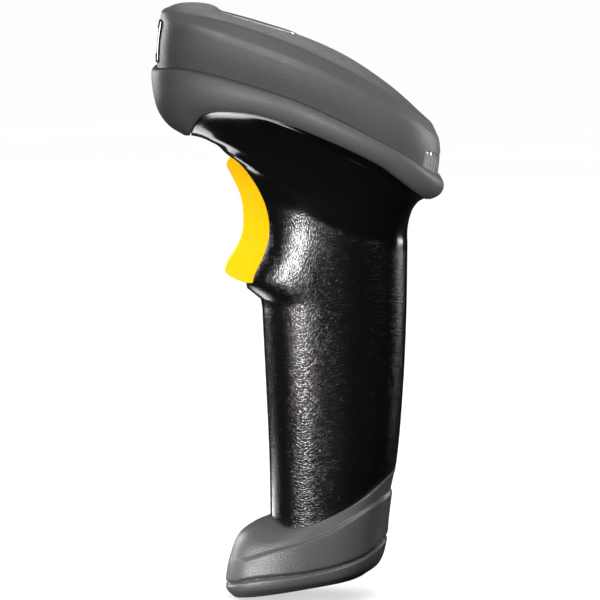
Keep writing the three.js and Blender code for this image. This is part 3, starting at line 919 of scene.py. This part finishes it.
class SCANNER_OT_stage(bpy.types.Operator):
    """Camera, pale floor and soft studio light"""

    bl_idname = "scanner.stage"
    bl_label = "Stage"

    def execute(self, context):
        self.add_camera(context)
        floor = self.add_floor()
        self.add_overhead(context, floor)
        for row in LAMPS:
            lamp = softbox(*row)
        # The last lamp lies on the floor, within the view from some sides.
        lamp.visible_camera = False
        self.add_world(context)
        context.scene.view_settings.view_transform = "Standard"
        return {"FINISHED"}

    def add_camera(self, context):
        distance, elevation = stage().distance, stage().elevation
        camera_data = bpy.data.cameras.new("camera")
        camera_data.sensor_width = 36
        camera_data.lens = camera_data.sensor_width * distance / stage().field
        camera_data.clip_start = 0.05
        camera = bpy.data.objects.new("camera", camera_data)
        context.scene.collection.objects.link(camera)
        target = placed((0, -10.15, 81))
        back = Vector((math.cos(elevation), 0, math.sin(elevation))) * distance
        aim(camera, target + back, target)
        context.scene.camera = camera

    def add_floor(self):
        bm = bmesh.new()
        bmesh.ops.create_grid(bm, x_segments=8, y_segments=8, size=1)
        bmesh.ops.scale(bm, vec=(14, 14, 1), verts=bm.verts)
        bmesh.ops.translate(bm, vec=(0, 0, -FLOOR_DROP), verts=bm.verts)
        floor = mesh_object("floor", bm)
        material, graph, shader, place = new_material("pale_floor")
        tone = stage().floor_tone
        cloudy = tone * 0.97
        cloud = graph.noise(place, 3.0, 2.0)
        colour = graph.blend(cloud, (tone, tone, tone, 1), (cloudy, cloudy, cloudy, 1))
        set_shader(graph, shader, Base_Color=colour, Roughness=0.8, Specular_IOR_Level=0.1)
        glow = graph.add("ShaderNodeEmission", {"Color": colour, "Strength": 1.0})
        faded = graph.add(
            "ShaderNodeMixShader", {0: 0.6, 1: shader.outputs[0], 2: glow.outputs[0]}
        )
        # Away from the camera's own view the floor is dark, so it throws little light back up.
        dark = (UNSEEN_FLOOR_TONE, UNSEEN_FLOOR_TONE, UNSEEN_FLOOR_TONE, 1)
        unseen = graph.add("ShaderNodeBsdfDiffuse", {"Color": dark})
        output = next(node for node in graph.tree.nodes if node.type == "OUTPUT_MATERIAL")
        surface = by_camera_ray(graph, unseen.outputs[0], faded.outputs[0])
        graph.tree.links.new(surface, output.inputs["Surface"])
        floor.data.materials.append(material)
        return floor

    def add_overhead(self, context, floor):
        sun_data = bpy.data.lights.new("overhead", "SUN")
        sun_data.energy = stage().overhead
        sun_data.angle = math.radians(130)
        sun = bpy.data.objects.new("overhead", sun_data)
        context.scene.collection.objects.link(sun)
        aim(sun, (0.3, -0.35, 1.0), (0, 0, 0))
        light_by(floor, "floor only")
        sun.light_linking.receiver_collection = lit_group("floor only")

    def add_world(self, context):
        world = bpy.data.worlds.new("studio")
        world.use_nodes = True
        world.node_tree.nodes.clear()
        graph = Graph(world.node_tree)
        seen, room = (
            graph.add("ShaderNodeBackground", {"Color": (1, 1, 1, 1), "Strength": strength})
            for strength in (1.0, ROOM_TONE)
        )
        joined = by_camera_ray(graph, room.outputs[0], seen.outputs[0])
        graph.add("ShaderNodeOutputWorld", {0: joined})
        context.scene.world = world


# ------------------------------------------------------------------ head


def cover_bottom(turn, grow=0.0):
    front, rear, half_width = COVER_FOOT
    x, y = head_plan(turn, front - grow, rear + grow, half_width + grow)
    plain = head_plan(turn, *COVER_FOOT)[1]
    return Vector((x, y, cover_edge(plain) + 0.04))


def cover_sections(grow=0.0, below=0.0, step=0.0):
    """Sections of the form of the head above the bumper, from its lower edge to near its pole."""

    def sized(front, rear, half_width, height):
        return level(front - grow, rear + grow, half_width + grow, height)

    def bottom(turn):
        return cover_bottom(turn, grow)

    panel = sized(-50.1, 30.1, 31.2, lambda y: panel_edge(y) + 0.8 * grow)
    band = sized(-50, 28, 27.6, lambda y: band_edge(y) + grow)

    def crown(share):
        def section(turn):
            point = band(turn)
            y = HEAD_MIDDLE + (point.y - HEAD_MIDDLE) * share
            swell = 1 - share ** (2.4 + 7 * forwardness(turn) ** 2)
            z = mix(band_edge(y), crown_ridge(y), swell) + grow
            return Vector((point.x * share, y, z))

        return section

    def tongue(turn):
        return cover_bottom(turn, grow - step)

    size = shape().crease
    sections = [moved(tongue, (0, 0, -below))] if below else []
    sections += [tongue, bottom] if step else [bottom]
    sections += [
        between(bottom, panel, share, 0.45 * math.sin(math.pi * share))
        for share in steps(0.08, 0.92, 9)
    ]
    sections += corner(bottom, panel, band, size)
    sections += [between(panel, band, share) for share in (0.3, 0.5, 0.7)]
    sections += corner(panel, band, crown(0.93), size)
    sections += [crown(share) for share in steps(0.95, 0.05, 34)]
    return sections


def cover_shell(name, grow, thickness, below=0.0, step=0.0):
    inside = reversed(cover_sections(grow - thickness, below))
    loft = Loft().draw(*inside).draw(*cover_sections(grow, below, step))
    return mesh_object(name, loft.cap_start().close_point().bm)


def crown_lozenge(shrink):
    """Cutter for the recessed plate on the crown."""
    loft = Loft(CUTTER_POINTS)

    def at_height(z):
        def section(turn):
            x, y = plan(turn, -33.4 + shrink, -11 - shrink, 9 - shrink, -22.6, 2.3, 2.3)
            return Vector((x, y, z))

        return section

    loft.draw(at_height(145), at_height(185)).cap_ends()
    return mesh_object("lozenge", loft.bm)


def rear_notch(shrink, drop=0.0):
    low = Vector((-17.5 + shrink, 24.4, 117.1 + shrink - drop))
    high = Vector((17.5 - shrink, 38.4, 123.3 - shrink - drop))
    return block(low, high, 0.8, turn=-0.32)


def window_block(shrink, rounding):
    low = (-WINDOW["half_width"] + shrink, -66, WINDOW["bottom"] + shrink)
    high = (WINDOW["half_width"] - shrink, -42, WINDOW["top"] - shrink)
    return block(low, high, rounding)


class SCANNER_OT_top_cover(bpy.types.Operator):
    """Grey top cover with its window opening, lamp recess and rear notch"""

    bl_idname = "scanner.top_cover"
    bl_label = "Top Cover"

    def execute(self, context):
        cover = cover_shell("cover_moulding", 0, WALL, below=1.5, step=0.5)
        carve(cover, window_block(0, 1.6))
        carve(cover, crown_lozenge(0))
        carve(cover, rear_notch(0))
        carve(cover, rear_notch(0, 4))
        material = moulded_plastic("cover_plastic", finish().cover, 0.5)
        settle(cover, material, "grey_plastic", "top_cover")
        light_by(cover, without=["foot and the rest"])
        return {"FINISHED"}


BUMPER_SECTIONS = (
    (-43.2, 27.8, 31.9, 0),
    (-47.8, 30, 33, 0.15),
    (-50.9, 31.2, 33.7, 0.37),
    (-52.3, 31.4, 34, 0.64),
    (-52.8, 30.4, 33.6, 0.93),
    (-51.8, 29.8, 32.8, 1),
)
BUMPER_CURVES = [curve_through(*enumerate(column)) for column in zip(*BUMPER_SECTIONS)]


def belly_rim(turn, inset=0.0):
    """Lower edge of the head, which dips to a chin at the middle of the front."""
    front, rear, half_width = BELLY_RIM
    x, y = head_plan(turn, front + inset, rear - inset, half_width - inset)
    return Vector((x, y, bumper_edge(y) - 6 * forwardness(turn) ** 5 + inset))


def bumper_section(position, inset=0.0):
    front, rear, half_width, share = (curve(position) for curve in BUMPER_CURVES)

    def section(turn):
        x, y = head_plan(turn, front + inset, rear - inset, half_width - inset)
        top = cover_edge(head_plan(turn, *COVER_FOOT)[1])
        return Vector((x, y, mix(belly_rim(turn).z, top, share)))

    return section


class SCANNER_OT_head_bumper(bpy.types.Operator):
    """Soft grey bumper round the head"""

    bl_idname = "scanner.head_bumper"
    bl_label = "Head Bumper"

    def execute(self, context):
        def mouth(turn):
            point = belly_rim(turn, -GAP)
            return Vector((point.x, point.y, belly_rim(turn).z))

        lip = bumper_section(0)
        inside = [bumper_section(k, WALL) for k in (4.4, 3.5, 2.5, 1.6)]
        top = bumper_section(5)
        top_in = bumper_section(5, 0.42)
        loft = Loft().draw(moved(mouth, (0, 0, 5)))
        loft.draw(*corner(moved(mouth, (0, 0, 5)), mouth, lip, 0.35))
        loft.draw(*corner(mouth, lip, bumper_section(0.5), 0.5))
        loft.draw(*[bumper_section(k) for k in steps(0.15, 4.9, 30)])
        loft.draw(*corner(bumper_section(4.7), top, top_in, 0.2))
        loft.draw(top_in, moved(top_in, (0, 0, -1.7)), *inside)
        loft.join_ends()
        bumper = mesh_object("bumper_moulding", loft.bm)
        carve(bumper, rear_notch(0))
        material = moulded_plastic(
            "bumper_rubber", finish().bumper, 0.52, grains=2200.0, mottle=0.12, wear=0.35
        )
        settle(bumper, material, "grey_plastic", "head_bumper")
        light_by(bumper, "bumper", without=["foot and the rest", "cover and the rest"])
        return {"FINISHED"}


class SCANNER_OT_scan_window(bpy.types.Operator):
    """Glossy black frame and dark red scan window"""

    bl_idname = "scanner.scan_window"
    bl_label = "Scan Window"

    def execute(self, context):
        bezel = cover_shell("window_frame", 0.4, 2.4)
        carve(bezel, window_block(GAP, 1.5), "INTERSECT")
        carve(bezel, window_block(WINDOW["frame"], 1.0))
        soften(bezel, 0.25)
        black = clear_plastic("window_frame_gloss", (0.006, 0.006, 0.007), 0.06, 0.0)
        settle(bezel, black, "black_plastic", "window_bezel")
        pane = cover_shell("window_pane", -0.2, 1.5)
        carve(pane, window_block(WINDOW["frame"] + GAP / 2, 0.9), "INTERSECT")
        tinted = clear_plastic("window_tint", finish().window, 0.02, 0.8)
        settle(pane, tinted, "window_plastic", "scan_window")
        return {"FINISHED"}


class SCANNER_OT_lamp_lenses(bpy.types.Operator):
    """Lamp plate on the crown and the clear lens at the rear"""

    bl_idname = "scanner.lamp_lenses"
    bl_label = "Lamp Lenses"

    def execute(self, context):
        plate = cover_shell("status_plate", 0.3, 2.5)
        carve(plate, crown_lozenge(GAP / 2), "INTERSECT")
        soften(plate, 0.25)
        smoke = clear_plastic("status_milk", (0.72, 0.73, 0.74), 0.1, 0.2)
        settle(plate, smoke, "lens_plastic", "status_lens")
        lens = cover_shell("rear_light_guide", -0.2, 1.8, below=9)
        carve(lens, rear_notch(GAP / 2), "INTERSECT")
        soften(lens, 0.3)
        turns = steps(math.pi - 0.52, math.pi + 0.52, 17)
        flutes = [(*head_plan(turn, -51.1, 30, 32.6), 118) for turn in turns]
        carve(lens, bars("z", 0.55, 16, [flute for flute in flutes if abs(flute[0]) < 16.8]))
        clear = clear_plastic("rear_clear", (0.88, 0.89, 0.9), 0.02, 0.6)
        settle(lens, clear, "lens_plastic", "rear_lens")
        return {"FINISHED"}


# ------------------------------------------------------------------ grip


def grip_section(z, inset=0.0):
    def section(turn):
        front, rear = grip_front(z) + inset, grip_rear(z) - inset
        x, y = plan(turn, front, rear, grip_half_width(z) - inset, 0, GRIP_POWER, GRIP_POWER)
        return Vector((x, y, z))

    return section


def flare_section(share, inset=0.0):
    """A ring of the flare from the neck to the rim of the head's belly."""
    rest = 1 - share
    neck = grip_section(NECK_Z, inset)

    def section(turn):
        low, rim = neck(turn), belly_rim(turn, inset)
        across = rim - low
        lift = Vector((0, 0, across.z))
        across.z = 0
        start = low - 0.13 * across + 0.46 * lift
        end = rim - 0.56 * across - 0.05 * lift
        return (
            low * rest**3
            + start * (3 * rest * rest * share)
            + end * (3 * rest * share * share)
            + rim * share**3
        )

    return section


fold_line = curve_through((-34, 124.8), (-30, 123.6), (-24, 121), (-18, 117.2), (-12, 111.6))


def folded(section):
    """The two soft moulded folds over the trigger, added to a section of the flare."""

    def bent(turn):
        point = section(turn)
        along = rise(-12.5 - point.y, 3) * rise(point.y + 36, 2)
        above = point.z - fold_line(point.y)
        lift = (0.75 * hump(above, 1.0) + 0.6 * hump(above - 3.4, 1.1)) * along
        return point + Vector((point.x, point.y + 5, 0)).normalized() * lift

    return bent


def grip_form(inset, folds=True):
    outer = [grip_section(z, inset) for z in steps(GRIP_END_Z, NECK_Z, 64)]
    for share in steps(0.02, 1, 52):
        ring = flare_section(share, inset)
        outer.append(folded(ring) if folds else ring)
    return outer


def trigger_outline_points(grow=0.0):
    """Side outline of the trigger as (y, z) points, hollow towards the finger."""
    g = grow
    points = [
        (-30.2 - g, 121.0 + g), (-29.1 - g, 118.6), (-27.5 - g, 115.4), (-26.1 - g, 111.8),
        (-25.5 - g, 108), (-25.4 - g, 103.6), (-26 - g, 99.5), (-27.8 - g, 95.2),
        (-30.4 - g, 91.2), (-30.3 - g, 89.9 - g), (-27.6, 88.4 - g), (-24.6, 87.7 - g),
        (-21.6 + g, 88.6 - g), (-19.7 + g, 91.6), (-18.3 + g, 95.5), (-17.2 + g, 100),
        (-16.7 + g, 104.5), (-16.5 + g, 109), (-16.8 + g, 113.5), (-17.8 + g, 117.6),
        (-18.1 + g, 120.6 + g), (-19.2 + g, 123.8 + g), (-21.8, 125 + g), (-24.6, 124 + g),
        (-28.2, 121.9 + g),
    ]  # fmt: skip
    return [Vector(point) for point in points]


def closed_curve(points):
    """A point and its outward normal on a smooth closed curve, by share of the way round."""
    count = len(points)
    area = sum(points[i - 1].cross(points[i]) for i in range(count))
    outward = math.copysign(1, area)

    def at(share):
        position = (share % 1) * count
        i = int(position)
        t = position - i
        p0, p1, p2, p3 = (points[(i + k) % count] for k in (-1, 0, 1, 2))
        point = 0.5 * (
            2 * p1
            + (p2 - p0) * t
            + (2 * p0 - 5 * p1 + 4 * p2 - p3) * t * t
            + (3 * p1 - p0 - 3 * p2 + p3) * t**3
        )
        slope = 0.5 * (
            (p2 - p0)
            + (2 * p0 - 5 * p1 + 4 * p2 - p3) * 2 * t
            + (3 * p1 - p0 - 3 * p2 + p3) * 3 * t * t
        ).normalized()
        return point, Vector((slope.y, -slope.x)) * outward

    return at


def trigger_slab(half_width, grow=0.0, rounding=0.0):
    """The trigger's form, from its right side to its left, with rounded long edges."""
    outline = closed_curve(trigger_outline_points(grow))

    def at(x, inset):
        def section(turn):
            point, out = outline(turn / (2 * math.pi))
            point = point - out * inset
            return Vector((x, point.x, point.y))

        return section

    loft = Loft(TRIGGER_POINTS)
    if rounding:
        arc = steps(0, math.pi / 2, 9)
        rings = [
            (half_width - rounding * (1 - math.sin(a)), rounding * (1 - math.cos(a)) * 0.85)
            for a in arc
        ]
        left = [(x, -inset) for x, inset in rings]
        for x, inset in [(-x, inset) for x, inset in reversed(left)] + left:
            loft.draw(at(x, inset))
    else:
        loft.draw(at(-half_width, 0), at(half_width, 0))
    return loft.cap_ends()


def open_for_trigger(piece):
    carve(piece, mesh_object("slot", trigger_slab(**TRIGGER_SLOT).bm))
    carve(piece, block(*TRIGGER_POCKET))


def slab_between(low, high):
    """A slab that takes in all of the scanner between two planes across X."""
    return block((low, -70, -60), (high, 70, 240))


class SCANNER_OT_grip_shells(bpy.types.Operator):
    """Two black grip shells, leather-grained below a sloping line and glossy above it"""

    bl_idname = "scanner.grip_shells"
    bl_label = "Grip Shells"

    def execute(self, context):
        outer = grip_form(0)
        rim = outer[-1]
        loft = Loft().draw(*outer, moved(rim, (0, 0, 4)))
        inner_rim = flare_section(1, WALL)
        loft.draw(moved(inner_rim, (0, 0, 4)))
        for share in (1, 0.85, 0.7, 0.5, 0.3, 0.12):
            loft.draw(flare_section(share, WALL))
        loft.draw(*[grip_section(z, WALL) for z in steps(NECK_Z, GRIP_END_Z, 30)])
        loft.join_ends()
        shell = mesh_object("grip", loft.bm)

        # Screw posts, cut to the form of the shell.
        form = Loft(CUTTER_POINTS).draw(*grip_form(0.4, False)[::3]).cap_start().close_point()
        form = mesh_object("form", form.bm)
        posts = bars("x", POST_RADIUS, 70, [(-35, y, z) for y, z in SHELL_SCREWS])
        carve(posts, form, "INTERSECT")
        carve(shell, posts, "UNION")
        open_for_trigger(shell)
        carve(shell, bars("x", SCREW_WELL_RADIUS, 40, [(-26, y, z) for y, z in SHELL_SCREWS]))

        material = grip_plastic("grip_plastic")
        for side, name in ((1, "left"), (-1, "right")):
            half = copy_of(shell, f"grip_half_{name}")
            low, high = sorted((side * SEAM / 2, side * 60))
            carve(half, slab_between(low, high), "INTERSECT")
            settle(half, material, "black_plastic", f"grip_shell_{name}")
            light_by(half, "grip", without=["foot and the rest", "cover and the rest"])
        bpy.data.objects.remove(shell)

        levels = steps(GRIP_END_Z + 0.5, NECK_Z, 30)
        loft = Loft().draw(*[grip_section(z, 0.8) for z in levels])
        loft.draw(*[flare_section(share, 0.8) for share in steps(0.05, 0.98, 20)])
        tongue = mesh_object("seam_tongue", loft.bm)
        wall(tongue, 1.2)
        carve(tongue, slab_between(-SEAM_TONGUE, SEAM_TONGUE), "INTERSECT")
        open_for_trigger(tongue)
        settle(tongue, material, "black_plastic")
        return {"FINISHED"}


class SCANNER_OT_trigger(bpy.types.Operator):
    """Yellow trigger, hollowed for the finger and rounded along its edges"""

    bl_idname = "scanner.trigger"
    bl_label = "Trigger"

    def execute(self, context):
        loft = trigger_slab(7.5, 0, shape().trigger_rounding)
        piece = mesh_object("trigger_blade", loft.bm)
        carve(piece, bars("x", 1.28, 40, [PIVOT]))
        carve(piece, bars("x", 3.9, 7.2, [PIVOT]))
        material = trigger_plastic("trigger_plastic")
        settle(piece, material, "yellow_plastic", "trigger", body="trigger", angle=40)
        # The glossy belly above it would show its reflection as a yellow streak.
        piece.visible_glossy = False
        return {"FINISHED"}


class SCANNER_OT_shell_screws(bpy.types.Operator):
    """Cross-recessed screws in the right grip shell"""

    bl_idname = "scanner.shell_screws"
    bl_label = "Shell Screws"

    def execute(self, context):
        steel = metal("screw_steel", (0.56, 0.57, 0.58), 0.28)
        for number, (y, z) in enumerate(SHELL_SCREWS, 1):
            bm = bmesh.new()
            add_bar(bm, "x", 2.25, 1.3, (-7.15, y, z), segments=40)
            screw = mesh_object(f"cross_screw_{number}", bm)
            soften(screw, 0.35, 3)
            shank = bmesh.new()
            add_bar(shank, "x", 1, 12.4, (-0.4, y, z), segments=24)
            carve(screw, mesh_object("shank", shank), "UNION")
            for across, up in ((1.25, 0.3), (0.3, 1.25)):
                carve(screw, block((-9, y - across, z - up), (-7.1, y + across, z + up)))
            settle(screw, steel, "steel", f"shell_screw_{number}")
        return {"FINISHED"}


# ------------------------------------------------------------------ foot

FOOT_SECTIONS = (
    (-29.4, 8.6, 15.4, 0),
    (-31.6, 12.4, 17.2, 0.1),
    (-31.6, 14.4, 17.6, 0.28),
    (-30.4, 15.2, 17.2, 0.52),
    (-27.8, 16.2, 16.6, 0.78),
    (-23.4, 17.1, 16, 0.92),
    (-18.9, 17.8, 15.6, 1),
)
FOOT_CURVES = [
    curve_through(*((row[3], row[column]) for row in FOOT_SECTIONS)) for column in range(3)
]
sole_band = curve_through((-31, 4.6), (-23, 5.6), (-7, 5.0), (7.5, 6.4), (13.5, 9.2), (17, 11.4))
foot_line = curve_through(
    (-26, 6.6), (-18, 9.6), (-10.7, 11.8), (-2.6, 15), (3.5, 18.4), (9.6, 22), (16, 25.6)
)


def foot_plan(turn, front, rear, half_width):
    return plan(turn, front, rear, half_width, -2, 2.5, 2.35)


def foot_section(share):
    front, rear, half_width = (curve(share) for curve in FOOT_CURVES)

    def section(turn):
        x, y = foot_plan(turn, front, rear, half_width)
        low = sole(foot_plan(turn, *FOOT_SECTIONS[0][:3])[1])
        high = foot_edge(foot_plan(turn, *FOOT_SECTIONS[-1][:3])[1])
        z = mix(low, high, share)
        out = Vector((x, (y + 2) * 0.8, 0)).normalized()
        groove = -shape().groove * hump(z - sole(y) - sole_band(y), 0.5)
        proud = shape().foot_step * rise(foot_line(y) - z, 0.6) * rise(y + 27, 3)
        return Vector((x, y, z)) + out * (groove + proud * rise(share - 0.05, 0.1))

    return section


class SCANNER_OT_base_foot(bpy.types.Operator):
    """Grey rubber foot with its sole band, groove and raised line"""

    bl_idname = "scanner.base_foot"
    bl_label = "Base Foot"

    def execute(self, context):
        sole_edge, top = foot_section(0), foot_section(1)

        def grip_at(turn):
            height = top(turn).z
            point = grip_section(height, -GAP)(turn)
            return Vector((point.x, point.y, height))

        def sole_ring(shrink):
            def section(turn):
                edge = foot_section(0)(turn)
                x, y = edge.x * shrink, -5 + (edge.y + 5) * shrink
                return Vector((x, y, sole(y)))

            return section

        loft = Loft().draw(sole_ring(0.3), sole_ring(0.85))
        loft.draw(*[moved(sole_ring(s), (0, 0, 0.5 * (s < 0.9))) for s in (0.87, 0.92)])
        loft.draw(*corner(sole_ring(0.92), sole_edge, foot_section(0.06), 0.5))
        loft.draw(*[foot_section(share) for share in steps(0.03, 0.985, 84)])
        loft.draw(*corner(foot_section(0.97), top, grip_at, 0.45))
        loft.draw(grip_at, moved(grip_at, (0, 0, -5)))
        foot = mesh_object("foot_moulding", loft.cap_start().close_point().bm)
        width, depth = SOCKET["width"] / 2 + GAP, SOCKET["depth"] / 2 + GAP
        carve(foot, block((-width, -depth, -20), (width, depth, 9), 0.5))
        material = moulded_plastic(
            "foot_rubber", finish().foot, 0.42, grains=2000.0, depth=0.00004, mottle=0.16, wear=0.4
        )
        settle(foot, material, "grey_rubber", "base_foot")
        return {"FINISHED"}


class SCANNER_OT_cable_socket(bpy.types.Operator):
    """Modular cable socket in the sole, with its latch slot and contacts"""

    bl_idname = "scanner.cable_socket"
    bl_label = "Cable Socket"

    def execute(self, context):
        half_width, half_depth = SOCKET["width"] / 2, SOCKET["depth"] / 2
        body = block((-half_width, -half_depth, -0.2), (half_width, half_depth, SOCKET["top"]), 0.3)
        width, depth = SOCKET["cavity_width"] / 2, SOCKET["cavity_depth"] / 2
        carve(body, block((-width, -depth, -5), (width, depth, 13)))
        carve(body, block((-2.2, -half_depth + 0.8, -5), (2.2, 0, 8)))
        face = block((-20, -20, -10.6), (20, 20, 0.6), turn=math.atan(0.185))
        carve(body, face)
        black = moulded_plastic("socket_plastic", (0.012, 0.012, 0.013), 0.42)
        settle(body, black, "moulded_black", "cable_socket")
        gold = metal("contact_gold", (0.85, 0.6, 0.22), 0.2)
        bm = bmesh.new()
        for i in range(8):
            x = -3.15 + 0.9 * i
            add_bar(bm, "z", 0.2, 9, (x, 2.9, 8), segments=12)
        settle(mesh_object("socket_contacts", bm), gold, "brass")
        return {"FINISHED"}


# ------------------------------------------------------------------ inner parts


def inner_finishes():
    """Finish of every carried-over part, by the start of its name."""
    black = moulded_plastic("chip_black", (0.014, 0.014, 0.016), 0.42, grains=3200.0, wear=0.1)
    steel = metal("part_steel", (0.6, 0.61, 0.62), 0.25, brushed=1.0)
    clear = clear_plastic("part_clear", (0.7, 0.71, 0.72), 0.05, 0.7)
    board = circuit_board("circuit_board")
    return {
        "beeper": black,
        "board_screw": steel,
        "cable_connector": moulded_plastic("connector_white", (0.62, 0.6, 0.54), 0.45),
        "capacitor": metal("capacitor_can", (0.5, 0.52, 0.55), 0.3, brushed=1.0),
        "collector_lens": clear,
        "crystal_can": steel,
        "decoder_chip": black,
        "drive_coil": winding("coil_winding"),
        "engine_board": board,
        "engine_cable": moulded_plastic("cable_sheath", (0.02, 0.02, 0.022), 0.5),
        "engine_chassis": metal("cast_alloy", (0.2, 0.205, 0.21), 0.42),
        "engine_screw": steel,
        "interface_chip": black,
        "laser_barrel": metal("turned_brass", (0.6, 0.42, 0.16), 0.22, brushed=1.0),
        "led_board": board,
        "main_board": board,
        "mirror_magnet": steel,
        "mirror_shaft": steel,
        "photodiode": black,
        "photodiode_board": board,
        "rear_led": clear,
        "rear_led_board": board,
        "scan_mirror": metal("mirror_coat", (0.86, 0.88, 0.9), 0.02),
        "status_led": clear,
        "switch_body": black,
        "switch_plunger": moulded_plastic("plunger_ivory", (0.6, 0.58, 0.5), 0.4),
        "trigger_board": board,
        "trigger_cable": moulded_plastic("cable_sheath", (0.02, 0.02, 0.022), 0.5),
        "trigger_pin": steel,
        "trigger_spring": steel,
    }


class SCANNER_OT_inner_parts(bpy.types.Operator):
    """Finishes of the boards, engine, switch and other carried-over parts"""

    bl_idname = "scanner.inner_parts"
    bl_label = "Inner Parts"

    def execute(self, context):
        finishes = inner_finishes()
        for name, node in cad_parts.items():
            fitting = [start for start in finishes if name.startswith(start)]
            if node.hide_render or not fitting:
                continue
            material = finishes[max(fitting, key=len)]
            if not node.material_slots:
                node.data.materials.append(material)
            for slot in node.material_slots:
                slot.material = material
        return {"FINISHED"}


# ------------------------------------------------------------------ add-on


OPERATORS = (
    SCANNER_OT_stage,
    SCANNER_OT_top_cover,
    SCANNER_OT_head_bumper,
    SCANNER_OT_scan_window,
    SCANNER_OT_lamp_lenses,
    SCANNER_OT_grip_shells,
    SCANNER_OT_trigger,
    SCANNER_OT_shell_screws,
    SCANNER_OT_base_foot,
    SCANNER_OT_cable_socket,
    SCANNER_OT_inner_parts,
)


class SCANNER_PT_panel(bpy.types.Panel):
    """Lists the scanner's settings and pieces"""

    bl_idname = "SCANNER_PT_panel"
    bl_label = "Barcode Scanner"
    bl_space_type = "VIEW_3D"
    bl_region_type = "UI"
    bl_category = "Scanner"

    def draw(self, context):
        column = self.layout.column()
        for settings in (shape(), finish(), stage()):
            for name in settings.__annotations__:
                column.prop(settings, name)
        for operator in OPERATORS:
            column.operator(operator.bl_idname)


SETTINGS = (
    ("scanner_shape", ScannerShape),
    ("scanner_finish", ScannerFinish),
    ("scanner_stage", ScannerStage),
)
CLASSES = (*(group for _, group in SETTINGS), *OPERATORS, SCANNER_PT_panel)


def register():
    for item in CLASSES:
        bpy.utils.register_class(item)
    for name, group in SETTINGS:
        setattr(bpy.types.Scene, name, PointerProperty(type=group))


def unregister():
    for name, _ in SETTINGS:
        delattr(bpy.types.Scene, name)
    for item in reversed(CLASSES):
        bpy.utils.unregister_class(item)


def main():
    register()
    for operator in OPERATORS:
        group, name = operator.bl_idname.split(".")
        getattr(getattr(bpy.ops, group), name)()


if __name__ == "__main__":
    main()
